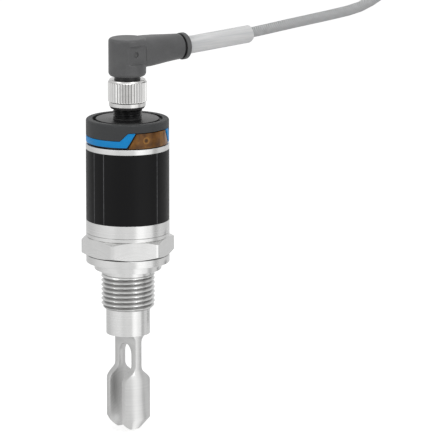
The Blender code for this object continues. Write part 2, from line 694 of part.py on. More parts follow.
# Light ring: one clear moulding whose two raised pads are the windows.
def signal_window():
    profile = [
        (RING_R, RING_TOP),
        (RING_R, TUBE_TOP + SEAT),
        (RING_SPIGOT_R, TUBE_TOP + SEAT),
        (RING_SPIGOT_R, SEAL_GROOVE_HIGH),
        (SEAL_GROOVE_R, SEAL_GROOVE_HIGH),
        (SEAL_GROOVE_R, SEAL_GROOVE_LOW),
        (RING_SPIGOT_R, SEAL_GROOVE_LOW),
        (RING_SPIGOT_R, RING_SPIGOT_LOW),
        (RING_BORE_R, RING_SPIGOT_LOW),
        (RING_BORE_R, BOARD_LEDGE_Z),
        (RING_INNER_R, BOARD_LEDGE_Z),
        (RING_INNER_R, RING_TOP),
    ]
    ring = turned(profile, closed=True)
    top = STEP_TOP - TILE_GAP
    for centre in WINDOW_AT:
        knots = [
            (centre - WINDOW_FOOT_HALF, TILE_LOW, TILE_LOW + TILE_GAP),
            (centre - WINDOW_TOP_HALF, TILE_LOW, top),
            (centre + WINDOW_TOP_HALF, TILE_LOW, top),
            (centre + WINDOW_FOOT_HALF, TILE_LOW, TILE_LOW + TILE_GAP),
        ]
        joined(ring, arc_band(knots, RING_INNER_R + RING_R - RING_SPIGOT_R, WINDOW_R))
    return node("signal_window", ring, AMBER)


def blue_stripe(name, centre):
    """Runs from one window to the other and climbs beside each."""
    half = []
    for away, low, high in (
        (STRIPE_TIP, STEP_TOP - TILE_GAP, STEP_TOP),
        (STEP_START, None, STEP_TOP),
        (STRIPE_FOOT, STRIPE_LOW, None),
        (STEP_END, STRIPE_LOW, STRIPE_TOP),
    ):
        climb = (away - STRIPE_TIP) / (STRIPE_FOOT - STRIPE_TIP)
        drop = (away - STEP_START) / (STEP_END - STEP_START)
        low = STEP_TOP - TILE_GAP + (STRIPE_LOW - STEP_TOP + TILE_GAP) * climb if low is None else low
        high = STEP_TOP + (STRIPE_TOP - STEP_TOP) * drop if high is None else high
        half.append((QUARTER_TURN - away, low, high))
    knots = [(centre - a, l, h) for a, l, h in half] + [
        (centre + a, l, h) for a, l, h in reversed(half)
    ]
    return node(name, arc_band(knots, TILE_INNER_R, TILE_R), STRIPE_BLUE)


def cap():
    skirt_low = STRIPE_TOP + TILE_GAP
    edge = [
        (
            TILE_R - CAP_EDGE_R * (1 - math.cos(math.radians(a))),
            CAP_TOP - CAP_EDGE_R * (1 - math.sin(math.radians(a))),
        )
        for a in (90, 67.5, 45, 22.5, 0)
    ]
    profile = (
        [(GROOVE_R, GROOVE_FLOOR), (GROOVE_R, CAP_TOP)]
        + edge
        + [
            (TILE_R, skirt_low),
            (TILE_INNER_R, skirt_low),
            (TILE_INNER_R, LEDGE_LOW),
            (CAP_INNER_R, LEDGE_LOW),
            (CAP_INNER_R, GROOVE_FLOOR),
        ]
    )
    shell = turned(profile, closed=True)
    rise = STEP_TOP + TILE_GAP
    notches = []
    for centre in WINDOW_AT:
        knots = [
            (centre - STEP_END, skirt_low - OVERRUN, skirt_low),
            (centre - STEP_START, skirt_low - OVERRUN, rise),
            (centre + STEP_START, skirt_low - OVERRUN, rise),
            (centre + STEP_END, skirt_low - OVERRUN, skirt_low),
        ]
        notches.append(arc_band(knots, TILE_INNER_R - TILE_GAP, TILE_R + OVERRUN))
    slots = [
        arc_band(
            [(a, LEDGE_LOW - OVERRUN, GROOVE_FLOOR + SEAT), (b, LEDGE_LOW - OVERRUN, GROOVE_FLOOR + SEAT)],
            CAP_INNER_R - OVERRUN,
            GROOVE_R - SEAT,
        )
        for a, b in (FRONT_SLOT, BACK_SLOT)
    ]
    cut(shell, *notches, *slots)
    return node("cap", shell, CAP_GREY)


# Connector body: disc, flange, threaded stub with its bore, and the four pins.
def pin_places():
    return [
        (PIN_CIRCLE_R * math.cos(math.radians(a)), PIN_CIRCLE_R * math.sin(math.radians(a)))
        for a in PIN_TURNS
    ]


def connector_body():
    base = turned(
        [
            (0, CAP_TOP),
            (DISC_R - COLLAR_CHAMFER, CAP_TOP),
            (DISC_R, CAP_TOP - COLLAR_CHAMFER),
            (DISC_R, FLANGE_HIGH),
            (FLANGE_R, FLANGE_HIGH),
            (FLANGE_R, FLANGE_LOW),
            (BARREL_R, FLANGE_LOW),
            (BARREL_R, BARREL_LOW),
            (0, BARREL_LOW),
        ]
    )
    relief_r = (STUB_ROOT_R + STUB_CREST_R) / 2
    relief = rod(relief_r, CAP_TOP - COLLAR_CHAMFER, STUB_RELIEF_TOP + COLLAR_CHAMFER, SMALL)
    thread = threaded(STUB_CREST_R, STUB_ROOT_R, STUB_PITCH, STUB_RELIEF_TOP, STUB_TOP, SMALL)
    joined(base, relief, thread)
    bore = rod(STUB_BORE_R, STUB_FLOOR, STUB_TOP + OVERRUN, SMALL)
    holes = [
        rod(PIN_HOLE_R, BARREL_LOW - OVERRUN, STUB_FLOOR + OVERRUN, FINE, at) for at in pin_places()
    ]
    cut(base, bore, *holes)
    return node("connector_body", base, BLACK_PLASTIC)


def contact_pins():
    for i, at in enumerate(pin_places(), 1):
        place = Matrix.Translation((at[0] * MM, at[1] * MM, 0.0))
        profile = [(0, PIN_HIGH), (PIN_R - 0.2, PIN_HIGH), (PIN_R, PIN_HIGH - 0.4)]
        profile += [(PIN_R, PIN_LOW), (0, PIN_LOW)]
        node(f"contact_pin_{i}", turned(profile, FINE, place), GOLD)


# Coupling nut: ribbed grip over a smooth collar, with a lip that pulls on the plug's flange.
def nut_section(low_r, rib_r, height):
    points = []
    pitch = 360.0 / NUT_RIBS
    for rib in range(NUT_RIBS):
        for share, radius in ((0.0, rib_r), (0.5, low_r)):
            turn = math.radians((rib + share) * pitch)
            points.append((radius * math.cos(turn), radius * math.sin(turn), height))
    return points


def coupling_nut():
    ease = NUT_R - NUT_GROOVE_R
    levels = (
        (NUT_LOW, 6.45, 6.45),
        (NUT_LOW + 1.2, NUT_GROOVE_R, NUT_GROOVE_R),
        (RIB_LOW, NUT_GROOVE_R, NUT_R),
        (RIB_HIGH, NUT_GROOVE_R, NUT_R),
        (RIB_HIGH + ease, NUT_GROOVE_R, NUT_GROOVE_R),
        (NUT_HIGH, NUT_GROOVE_R - 0.1, NUT_GROOVE_R - 0.1),
    )
    nut = lofted([nut_section(low_r, rib_r, z) for z, low_r, rib_r in levels])
    bore = turned(
        [
            (0, NUT_HIGH + OVERRUN),
            (NUT_LIP_R, NUT_HIGH + OVERRUN),
            (NUT_LIP_R, NUT_LIP_LOW),
            (NUT_BORE_R, NUT_LIP_LOW),
            (NUT_BORE_R, NUT_LOW - OVERRUN),
            (0, NUT_LOW - OVERRUN),
        ]
    )
    return node("coupling_nut", cut(nut, bore), NICKEL)


# Plug: elbow with its tapering arm, insert, contacts, face seal and marker sleeve.
ALONG_X = Matrix.Rotation(math.radians(90), 4, "Y")
ARM_PLACE = Matrix.Translation((0, 0, ARM_AXIS_Z * MM)) @ ALONG_X
# Along the arm: x, top height, bottom height, half width and how square the section is.
ARM_SECTIONS = (
    (3.0, 91.15, 79.4, 7.0, 3.2),
    (9.0, 91.15, 79.4, 6.7, 3.0),
    (13.0, 91.05, 79.7, 6.3, 2.8),
    (17.0, 90.8, 80.0, 5.8, 2.5),
    (20.5, 90.6, 80.2, 5.3, 2.3),
    (24.7, 90.4, 80.4, 4.9, 2.1),
)


def squared_section(x, top, bottom, half_width, power, count=SMALL):
    points = []
    for i in range(count):
        turn = math.tau * i / count
        c, s = math.cos(turn), math.sin(turn)
        across = math.copysign(abs(c) ** (2 / power), c) * half_width
        up = math.copysign(abs(s) ** (2 / power), s) * (top - bottom) / 2
        points.append((x, across, (top + bottom) / 2 + up))
    return points


def elbow_body():
    edge = [
        (
            DRUM_R - DRUM_EDGE_R * (1 - math.cos(math.radians(a))),
            DRUM_HIGH - DRUM_EDGE_R * (1 - math.sin(math.radians(a))),
        )
        for a in (90, 60, 30, 0)
    ]
    drum = turned(
        [(0, DRUM_HIGH)]
        + edge
        + [
            (DRUM_R, DRUM_LOW + DRUM_CHAMFER),
            (DRUM_R - 0.6 * DRUM_CHAMFER, DRUM_LOW),
            (PLUG_NECK_R, DRUM_LOW),
            (PLUG_NECK_R, PLUG_NECK_LOW),
            (PLUG_FLANGE_R, PLUG_NECK_LOW),
            (PLUG_FLANGE_R, PLUG_FLANGE_LOW),
            (0, PLUG_FLANGE_LOW),
        ]
    )
    arm = lofted([squared_section(*row) for row in ARM_SECTIONS])
    ring_start = ARM_END_X - ARM_END_RING
    groove = turned(
        [
            (0, ARM_END_X - ARM_END_RING - ARM_GROOVE_WIDTH - OVERRUN),
            (ARM_GROOVE_R, ARM_END_X - ARM_END_RING - ARM_GROOVE_WIDTH - OVERRUN),
            (ARM_GROOVE_R, ring_start),
            (ARM_END_R, ring_start),
            (ARM_END_R, ARM_END_X - COLLAR_CHAMFER),
            (ARM_END_R - COLLAR_CHAMFER, ARM_END_X),
            (0, ARM_END_X),
        ],
        SMALL,
        ARM_PLACE,
    )
    joined(drum, arm, groove)
    wide = DRUM_R + OVERRUN
    panels = [
        block((-wide, PANEL_HALF_Y, PANEL_LOW), (PANEL_END_X, wide, PANEL_HIGH)),
        block((-wide, -wide, PANEL_LOW), (PANEL_END_X, -PANEL_HALF_Y, PANEL_HIGH)),
    ]
    along_y = Matrix.Translation((0, 0, ARM_AXIS_Z * MM)) @ Matrix.Rotation(math.pi / 2, 4, "X")
    floor = PANEL_HALF_Y - DIMPLE_DEPTH
    dimples = [
        turned([(0, b), (DIMPLE_R, b), (DIMPLE_R, a), (0, a)], FINE, along_y)
        for a, b in ((floor, wide), (-wide, -floor))
    ]
    cord_bore = turned(
        [
            (0, ARM_END_X + OVERRUN),
            (CORD_BORE_R, ARM_END_X + OVERRUN),
            (CORD_BORE_R, CORD_BORE_X),
            (0, CORD_BORE_X),
        ],
        SMALL,
        ARM_PLACE,
    )
    socket = rod(INSERT_SOCKET_R, PLUG_FLANGE_LOW - OVERRUN, INSERT_SOCKET_TOP, SMALL)
    core_way = rod(CORE_WAY_R, INSERT_SOCKET_TOP - OVERRUN, ARM_AXIS_Z - CORE_WAY_R / 3, SMALL)
    cut(drum, *panels, *dimples)
    cut(drum, joined(socket, core_way, cord_bore))
    return node("elbow_body", drum, ELBOW_GREY)


def socket_insert():
    insert = rod(INSERT_R, INSERT_LOW, INSERT_SOCKET_TOP - SEAT, SMALL)
    holes = [
        rod(CONTACT_HOLE_R, INSERT_LOW - OVERRUN, INSERT_SOCKET_TOP + OVERRUN, FINE, at)
        for at in pin_places()
    ]
    node("socket_insert", cut(insert, *holes), BLACK_PLASTIC)
    for i, at in enumerate(pin_places(), 1):
        contact = tube_ring(CONTACT_R, CONTACT_BORE_R, CONTACT_LOW, CONTACT_HIGH, FINE, at)
        node(f"socket_contact_{i}", contact, GOLD)
    node("plug_seal", seal_ring(PLUG_SEAL_R, PLUG_SEAL_CORD_R, PLUG_SEAL_Z, SMALL), RUBBER)


def marker_sleeve():
    """A clear tube over the cord, its far end cut at a slant."""
    length = SLEEVE_END_X - SLEEVE_START_X
    profile = [(SLEEVE_R, length), (SLEEVE_R, 0), (SLEEVE_BORE_R, 0), (SLEEVE_BORE_R, length)]
    place = (
        Matrix.Translation((SLEEVE_START_X * MM, 0, ARM_AXIS_Z * MM))
        @ Matrix.Rotation(math.radians(90 - SLEEVE_RISE), 4, "Y")
    )
    sleeve = turned(profile, SMALL, place, closed=True)
    lean = math.tan(math.radians(SLEEVE_SLANT)) * 4 * SLEEVE_R
    top, bottom = ARM_AXIS_Z + 4 * SLEEVE_R, ARM_AXIS_Z - 4 * SLEEVE_R
    slant = prism(
        [
            (SLEEVE_END_X + lean, top),
            (SLEEVE_END_X - lean, bottom),
            (SLEEVE_END_X + 4 * OVERRUN, bottom),
            (SLEEVE_END_X + lean + 4 * OVERRUN, top),
        ],
        -2 * SLEEVE_R,
        2 * SLEEVE_R,
        "XZ",
    )
    return node("marker_sleeve", cut(sleeve, slant), SLEEVE_CLEAR)


# Electronics.
def signal_electronics():
    board = rod(SIGNAL_BOARD_R, SIGNAL_BOARD_LOW, SIGNAL_BOARD_HIGH)
    holes = [
        rod(PIN_HOLE_R, SIGNAL_BOARD_LOW - OVERRUN, SIGNAL_BOARD_HIGH + OVERRUN, FINE, at)
        for at in pin_places()
    ]
    node("signal_board", cut(board, *holes), BOARD_GREEN)
    deep, wide, high = LED_SIZE
    for i, turn in enumerate(LED_TURNS, 1):
        low = SIGNAL_BOARD_HIGH + SEAT
        lamp = block(
            (LED_AT_R - deep / 2, -wide / 2, low), (LED_AT_R + deep / 2, wide / 2, low + high)
        )
        lamp.data.transform(Matrix.Rotation(math.radians(turn), 4, "Z"))
        node(f"lamp_{i}", lamp, LED_WHITE)
    node("housing_seal", seal_ring(
        (SEAL_GROOVE_R + TUBE_BORE_R) / 2,
        SEAL_CORD_R,
        (SEAL_GROOVE_LOW + SEAL_GROOVE_HIGH) / 2,
    ), RUBBER)


def main_electronics():
    half = BOARD_THICK / 2
    outline = [
        (BOARD_HALF_WIDTH, BOARD_HIGH),
        (BOARD_HALF_WIDTH, BOARD_LOW),
        (TAB_HALF_WIDTH, BOARD_LOW),
        (TAB_HALF_WIDTH, TAB_LOW),
    ]
    outline += [(-x, z) for x, z in reversed(outline)]
    node("main_board", prism(outline, -half, half, "XZ"), BOARD_GREEN)
    face = half + SEAT
    width, deep, high = CHIP_SIZE
    x, z = CHIP_AT
    chip = block((x - width / 2, -face - deep, z - high / 2), (x + width / 2, -face, z + high / 2))
    node("controller_chip", chip, BLACK_PLASTIC)
    on_face = Matrix.Rotation(math.pi / 2, 4, "X")
    for name, radius, height, (x, z), finish in (
        ("inductor", INDUCTOR_R, INDUCTOR_HEIGHT, INDUCTOR_AT, INNER_GREY),
        ("capacitor", CAPACITOR_R, CAPACITOR_HEIGHT, CAPACITOR_AT, CAN_GREY),
    ):
        place = Matrix.Translation((x * MM, 0, z * MM)) @ on_face
        low, high = face, face + height
        ease = COLLAR_CHAMFER
        profile = [(0, high), (radius - ease, high), (radius, high - ease), (radius, low), (0, low)]
        node(name, turned(profile, SMALL, place), finish)
    width, deep, high = TERMINAL_SIZE
    x, z = TERMINAL_AT
    terminal = block((x - width / 2, face, z - high / 2), (x + width / 2, face + deep, z + high / 2))
    node("lead_terminal", terminal, INNER_GREY)
    carrier = rod(CARRIER_R, CARRIER_SEAT_Z + SEAT, CARRIER_HIGH)
    slot = block(
        (-TAB_HALF_WIDTH - FIT, -half - FIT, TAB_LOW - FIT),
        (TAB_HALF_WIDTH + FIT, half + FIT, CARRIER_HIGH + OVERRUN),
    )
    wire_way = rod(
        CARRIER_HOLE_R, CARRIER_SEAT_Z - OVERRUN, CARRIER_HIGH + OVERRUN, SMALL, (0, CARRIER_HOLE_Y)
    )
    node("board_carrier", cut(carrier, slot, wire_way), INNER_GREY)


# Piezo drive: rings and electrodes stacked on the boss and held down by the bolt.
def drive_stack():
    height = BOSS_TOP + SEAT
    tabs = iter(LEAD_TURNS)
    lead_starts = []
    stack = [("insulator_lower", INSULATOR_THICK, CERAMIC)]
    for ring in range(1, PIEZO_RINGS + 1):
        stack.append((f"piezo_ring_{ring}", PIEZO_THICK, CERAMIC))
        if ring < PIEZO_RINGS:
            stack.append((f"electrode_{ring}", ELECTRODE_THICK, SILVER))
    stack.append(("insulator_upper", INSULATOR_THICK, CERAMIC))
    for name, thick, finish in stack:
        ring = tube_ring(STACK_R, STACK_BORE_R, height, height + thick, SMALL)
        if name.startswith("electrode"):
            turn = next(tabs)
            tab = block(
                (STACK_R - 2 * TAB_WIDTH, -TAB_WIDTH / 2, height),
                (TAB_REACH_R, TAB_WIDTH / 2, height + thick),
            )
            tab.data.transform(Matrix.Rotation(math.radians(turn), 4, "Z"))
            joined(ring, tab)
            lead_starts.append((turn, height + thick + SEAT))
        node(name, ring, finish)
        height += thick + SEAT
    washer = tube_ring(WASHER_R, STACK_BORE_R, height, height + WASHER_THICK, SMALL)
    node("clamp_washer", washer, STEEL)
    height += WASHER_THICK + SEAT
    top = height + BOLT_HEAD_HEIGHT
    bolt = turned(
        [(0, top), (BOLT_HEAD_R, top), (BOLT_HEAD_R, height), (BOLT_R, height),
         (BOLT_R, BOLT_HOLE_END + 3 * FIT), (0, BOLT_HOLE_END + 3 * FIT)],
        FINE,
    )
    key = rod(BOLT_SOCKET_R, top - BOLT_SOCKET_DEPTH, top + OVERRUN, facets=6)
    node("clamp_bolt", cut(bolt, key), STEEL)
    low_face = TERMINAL_AT[1] - TERMINAL_SIZE[2] / 2 - SEAT
    middle_y = BOARD_THICK / 2 + SEAT + TERMINAL_SIZE[1] / 2
    for i, (turn, start) in enumerate(lead_starts, 1):
        c, s = math.cos(math.radians(turn)), math.sin(math.radians(turn))
        foot = (LEAD_AT_R * c, LEAD_AT_R * s)
        head = ((i - 2) * -2.4, middle_y)
        route = [
            (*foot, start),
            (*foot, COUNTERBORE_TOP),
            (foot[0], foot[1], 0.0),
            (head[0] * 0.8, CARRIER_HOLE_Y, CARRIER_SEAT_Z),
            (head[0] * 0.8, CARRIER_HOLE_Y, CARRIER_HIGH),
            (*head, low_face - 1.0),
            (*head, low_face),
        ]
        node(f"stack_lead_{i}", wire([Vector(p) for p in route], LEAD_R, 1), LEAD_RED)


# Cord: one smooth run, the hank as a pinched ring of winding, its tie, and the stripped tail.
def hank_outline(half_width, half_straight, pinch):
    """A racetrack whose straights are drawn together in the middle."""
    steps, outline = 12, []
    for i in range(steps + 1):
        x = half_straight * (1 - 2 * i / steps)
        drawn_in = pinch * (1 + math.cos(math.pi * x / half_straight)) / 2
        outline.append((x, half_width - drawn_in))
    for i in range(1, steps):
        turn = math.pi * (0.5 + i / steps)
        outline.append((-half_straight + half_width * math.cos(turn), half_width * math.sin(turn)))
    half = outline[:]
    return half + [(-x, -y) for x, y in half]


def cord_pieces():
    node("cable", wire(smooth_route(CORD_ROUTE, CORD_SPACING), CORD_R), CORD_GREY)
    track = 2 * CORD_R
    outer = HANK_FOLD_R + (HANK_TRACKS - 0.5) * track
    middle_x = HANK_NEAR_X + HANK_HALF_STRAIGHT + outer
    low = FLOOR_Z + TIE_THICK + TIE_GAP
    high = low + HANK_LAYERS * track
    hank = prism(hank_outline(outer, HANK_HALF_STRAIGHT, HANK_PINCH), low, high)
    inner = hank_outline(HANK_FOLD_R - track / 2, HANK_HALF_STRAIGHT, HANK_PINCH)
    cut(hank, prism(inner, low - OVERRUN, high + OVERRUN))
    softened(hank, HANK_EDGE)
    hank.data.transform(Matrix.Translation((middle_x * MM, 0, 0)))
    node("cable_hank", hank, CORD_GREY)
    waist = outer - HANK_PINCH + TIE_GAP
    loop = [
        rounded([(-w, l, r), (w, l, r), (w, h, r), (-w, h, r)])
        for w, l, h, r in (
            (waist + TIE_THICK, FLOOR_Z, high + TIE_GAP + TIE_THICK, 2 * TIE_THICK),
            (waist, FLOOR_Z + TIE_THICK, high + TIE_GAP, TIE_THICK),
        )
    ]
    half = TIE_WIDTH / 2
    tie = prism(loop[0], middle_x - half, middle_x + half, "YZ")
    cut(tie, prism(loop[1], middle_x - half - OVERRUN, middle_x + half + OVERRUN, "YZ"))
    node("hank_tie", tie, RUBBER)
    tail_z = low + CORD_R
    clear = outer + CORD_R + TAIL_Y
    start = middle_x + HANK_HALF_STRAIGHT + math.sqrt(outer**2 - (outer - clear) ** 2) + TIE_GAP
    tail = [Vector((start, TAIL_Y, tail_z)), Vector((TAIL_END_X, TAIL_Y, tail_z))]
    node("cable_tail", wire(tail, CORD_R), CORD_GREY)
    corners = ((1, 1), (-1, 1), (-1, -1), (1, -1))
    for (name, finish), (across, up) in zip(CORE_COLOURS.items(), corners):
        route = [
            Vector((x, TAIL_Y + across * CORE_SPREAD * fan, tail_z + up * CORE_SPREAD * min(fan, 1.2)))
            for x, fan in (
                (TAIL_END_X + SEAT, 1.0),
                (TAIL_END_X + (CORE_END_X - TAIL_END_X) * 0.4, 1.0 + 0.3 * CORE_FAN),
                (CORE_END_X, 1.0 + CORE_FAN),
            )
        ]
        node(name, wire(route, CORE_R, 1), finish)


process_fitting()
tuning_fork()
housing_tube()
wrap_label()
signal_window()
blue_stripe("blue_stripe_1", WINDOW_AT[0] + QUARTER_TURN)
blue_stripe("blue_stripe_2", WINDOW_AT[1] + QUARTER_TURN)
cap()
connector_body()
contact_pins()
coupling_nut()
elbow_body()
socket_insert()
marker_sleeve()
signal_electronics()
main_electronics()
drive_stack()
cord_pieces()
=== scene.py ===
# %% [markdown]
# # Dressing a tuning fork level switch
# The switch is a small stainless steel sensor that a plant hand screws into a tank wall. Its
# fork hums in the air and goes quiet in liquid. These cells load the engineering model, lay its
# cord, rebuild the visible pieces finely enough for a close-up, and give each its finish.

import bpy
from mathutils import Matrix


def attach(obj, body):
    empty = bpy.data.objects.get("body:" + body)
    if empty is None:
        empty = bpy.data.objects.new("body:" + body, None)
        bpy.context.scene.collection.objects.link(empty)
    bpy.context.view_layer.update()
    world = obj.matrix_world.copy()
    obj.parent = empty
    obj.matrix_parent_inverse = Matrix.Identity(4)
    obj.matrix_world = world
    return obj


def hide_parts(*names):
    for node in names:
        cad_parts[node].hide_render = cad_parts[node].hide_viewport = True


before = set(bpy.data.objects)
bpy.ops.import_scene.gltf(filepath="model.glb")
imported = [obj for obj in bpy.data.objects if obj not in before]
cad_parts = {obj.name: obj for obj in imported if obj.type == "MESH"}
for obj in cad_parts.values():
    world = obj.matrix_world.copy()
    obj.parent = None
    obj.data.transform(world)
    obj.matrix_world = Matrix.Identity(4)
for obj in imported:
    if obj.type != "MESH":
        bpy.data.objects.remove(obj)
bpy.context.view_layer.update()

# %% Imports and the unit
import math

import bmesh
import bpy
from mathutils import Matrix, Vector

MM = 0.001  # sizes below are in millimetres, and Blender works in metres
scene = bpy.context.scene


def linked(name, data):
    """A new object in the scene."""
    made = bpy.data.objects.new(name, data)
    scene.collection.objects.link(made)
    return made


# %% [markdown]
# ## Camera
# A catalogue photograph of a small part is taken from a few metres away with a long lens, so
# upright edges stay parallel. The camera here stands two metres off, a little above the switch,
# and is aimed by three numbers read from the picture: how far the picture's middle lies to the
# right of the switch's axis, how high it is, and how wide the picture is at that distance.

# %% Camera
CAMERA_TURN, CAMERA_TILT = math.radians(-36.0), math.radians(12.0)
CAMERA_AWAY = 2000.0
MIDDLE_RIGHT, MIDDLE_UP = 34.4, 20.7
PICTURE_WIDE = 168.5

right_way = Vector((math.cos(CAMERA_TURN), math.sin(CAMERA_TURN), 0))
look_flat = Vector((-math.sin(CAMERA_TURN), math.cos(CAMERA_TURN), 0))
look = look_flat * math.cos(CAMERA_TILT) - Vector((0, 0, math.sin(CAMERA_TILT)))
middle = right_way * MIDDLE_RIGHT * MM + Vector((0, 0, MIDDLE_UP * MM))

lens = bpy.data.cameras.new("catalogue_camera")
lens.sensor_width = 36.0
lens.lens = lens.sensor_width * CAMERA_AWAY / PICTURE_WIDE
lens.clip_start, lens.clip_end = 0.1, 50.0
camera = linked("catalogue_camera", lens)
camera.location = middle - look * CAMERA_AWAY * MM
camera.rotation_mode = "QUATERNION"
camera.rotation_quaternion = look.to_track_quat("-Z", "Y")
scene.camera = camera
print("camera stands at", [round(c, 3) for c in camera.location])

# %% [markdown]
# ## Shapes: skins, lathe work and cuts
# Nearly all of this switch is turned on a lathe, so most pieces start as an outline of radius
# and height that is swept round the axis. Blender's Screw modifier could do that; a short
# function in mesh code does too, closes the poles and shares its code with the hexagon and the
# light ring. Real edges are never knife sharp, so the outline's corners are rounded first, and
# each edge catches a thin line of light.

# %% Helper: round the corners of an outline
def rounded_path(points, radius, steps=3, closed=False):
    """Rounds an outline's corners, each by as much as its two sides allow."""
    points = [Vector(p) for p in points]
    path = []
    for i, here in enumerate(points):
        if not closed and i in (0, len(points) - 1):
            path.append(here)
            continue
        back, on = points[i - 1] - here, points[(i + 1) % len(points)] - here
        reach = min(radius, 0.45 * back.length, 0.45 * on.length)
        first, last = here + back.normalized() * reach, here + on.normalized() * reach
        for step in range(steps + 1):
            t = step / steps
            path.append(first * (1 - t) ** 2 + here * 2 * t * (1 - t) + last * t * t)
    return path


# %% Helper: a closed skin over rows of points
def outward(mesh):
    """Welds the mesh, drops empty faces and turns every face out."""
    shape = bmesh.new()
    shape.from_mesh(mesh)
    bmesh.ops.remove_doubles(shape, verts=shape.verts, dist=1e-6)
    bmesh.ops.dissolve_degenerate(shape, edges=shape.edges, dist=1e-7)
    bmesh.ops.recalc_face_normals(shape, faces=shape.faces)
    if shape.calc_volume(signed=True) < 0:
        bmesh.ops.reverse_faces(shape, faces=shape.faces)
    shape.to_mesh(mesh)
    shape.free()


def skin(name, rows, closed=False):
    """Joins rows of points into a closed body; a row of one point is a pole."""
    shape = bmesh.new()
    made = [[shape.verts.new([c * MM for c in point]) for point in row] for row in rows]
    for here, there in list(zip(made, made[1:])) + ([(made[-1], made[0])] if closed else []):
        for i in range(max(len(here), len(there))):
            j = (i + 1) % max(len(here), len(there))
            corners = here[:1] if len(here) == 1 else [here[i], here[j]]
            corners += there[:1] if len(there) == 1 else [there[j], there[i]]
            shape.faces.new(corners)
    if not closed:
        for row in (made[0], made[-1]):
            if len(row) > 1:
                shape.faces.new(row)
    piece = linked(name, bpy.data.meshes.new(name))
    shape.to_mesh(piece.data)
    shape.free()
    outward(piece.data)
    return piece


# %% Helper: the lathe
def lathe(name, profile, around=144, edge=0.0, closed=False, place=None):
    """Sweeps (radius, height) points round the Z axis."""
    path = rounded_path(profile, edge, closed=closed) if edge else profile
    turns = [math.tau * i / around for i in range(around)]
    rows = []
    for r, z in path:
        rows.append([(0, 0, z)] if r < 1e-6 else [(r * math.cos(a), r * math.sin(a), z) for a in turns])
    piece = skin(name, rows, closed)
    if place is not None:
        piece.data.transform(place)
    return piece


def quarter(radius, top, edge, step):
    """A rounded top edge of an outline, with a point each step degrees."""
    turns = [math.radians(a) for a in range(90, -1, -step)]
    return [(radius - edge * (1 - math.cos(a)), top - edge * (1 - math.sin(a))) for a in turns]


def closely(profile, spacing):
    """The outline with extra points, so that relief can be pressed into it."""
    points = [Vector(p) for p in profile]
    close = []
    for a, b in zip(points, points[1:]):
        count = max(1, math.ceil((b - a).length / spacing))
        close += [a.lerp(b, i / count) for i in range(count)]
    return close + [points[-1]]


# %% Helper: cuts, joins and softened edges
def plain(piece):
    """Makes the modifiers' result the piece's own mesh."""
    graph = bpy.context.evaluated_depsgraph_get()
    mesh = bpy.data.meshes.new_from_object(piece.evaluated_get(graph))
    piece.modifiers.clear()
    piece.data = mesh
    return piece


def carve(piece, operation, *tools):
    """Cuts the tools out of the piece, or joins them to it."""
    for tool in tools:
        change = piece.modifiers.new("carve", "BOOLEAN")
        change.operation, change.solver, change.object = operation, "EXACT", tool
        outward(plain(piece).data)
        bpy.data.objects.remove(tool)
    return piece


def soft_edges(piece, width, angle=35.0, segments=2):
    bevel = piece.modifiers.new("edges", "BEVEL")
    bevel.width, bevel.segments, bevel.limit_method = width * MM, segments, "ANGLE"
    bevel.angle_limit = math.radians(angle)
    return plain(piece)


def assembled(name, *shells, finishes=()):
    """One piece from closed shells that run into each other; finishes number each shell's look."""
    shape = bmesh.new()
    for i, shell in enumerate(shells):
        before = len(shape.faces)
        shape.from_mesh(shell.data)
        shape.faces.ensure_lookup_table()
        for face in shape.faces[before:]:
            face.material_index = finishes[i] if finishes else 0
        bpy.data.objects.remove(shell)
    piece = linked(name, bpy.data.meshes.new(name))
    shape.to_mesh(piece.data)
    shape.free()
    return piece


def prism(outline, low, high, plane):
    """An outline drawn in the XZ or YZ plane, drawn out along the third axis."""
    if plane == "XZ":
        rows = [[(x, y, z) for x, z in outline] for y in (low, high)]
    else:
        rows = [[(x, y, z) for y, z in outline] for x in (low, high)]
    return skin("prism", rows)


# %% [markdown]
# ## Finishes
# Turned metal, cut thread and moulded plastic: three families cover most of the switch, and the
# label, the window, the sleeve and the cord get groups of their own further down. The detail that
# a family shares sits in a node group, so each finish only sets its own values. The groups read
# the Object coordinates, which stay on the piece when it moves or is exported. Image textures
# could hold the same detail, but would need unwrapping and would blur in a close-up.

# %% Helper: formulas in a node tree
class Value:
    """A number in a node tree; a sum of such values adds the math nodes that work it out."""

    def __init__(self, tree, socket):
        self.tree, self.socket = tree, socket

    def math(self, operation, *others):
        made = add(self.tree, "Math", enumerate((self, *others)), operation=operation)
        return Value(self.tree, made.outputs[0])

    def __add__(self, other):
        return self.math("ADD", other)

    def __sub__(self, other):
        return self.math("SUBTRACT", other)

    def __mul__(self, other):
        return self.math("MULTIPLY", other)

    def __truediv__(self, other):
        return self.math("DIVIDE", other)

    def near(self, middle, width):
        """One where the value lies within width of middle, and nought elsewhere."""
        return (self - middle).math("ABSOLUTE").math("LESS_THAN", width)

    def span(self, low, high, out_low=0.0, out_high=1.0, **settings):
        """Takes the value from between low and high to between out_low and out_high."""
        ends = [("Value", self), ("From Min", low), ("From Max", high), ("To Min", out_low),
                ("To Max", out_high)]
        return Value(self.tree, add(self.tree, "MapRange", ends, **settings).outputs["Result"])

    def blend(self, a, b):
        """The colour that lies this share of the way from a to b."""
        ends = [("Factor", self), ("A", a), ("B", b)]
        return add(self.tree, "Mix", ends, data_type="RGBA").outputs["Result"]


def add(tree, kind, links=(), **settings):
    """Adds a node; links name its inputs and give each a number, a colour, a value or a socket."""
    made = tree.nodes.new(kind if kind.startswith("Geometry") else "ShaderNode" + kind)
    for key, setting in settings.items():
        setattr(made, key, setting)
    for place, source in links:
        source = source.socket if isinstance(source, Value) else source
        if isinstance(source, bpy.types.NodeSocket):
            tree.links.new(source, made.inputs[place])
        else:
            made.inputs[place].default_value = source
    return made


# %% Helper: node groups
SURFACE = {"Color": ["Colour"], "Float": ["Roughness"], "Vector": ["Normal"]}


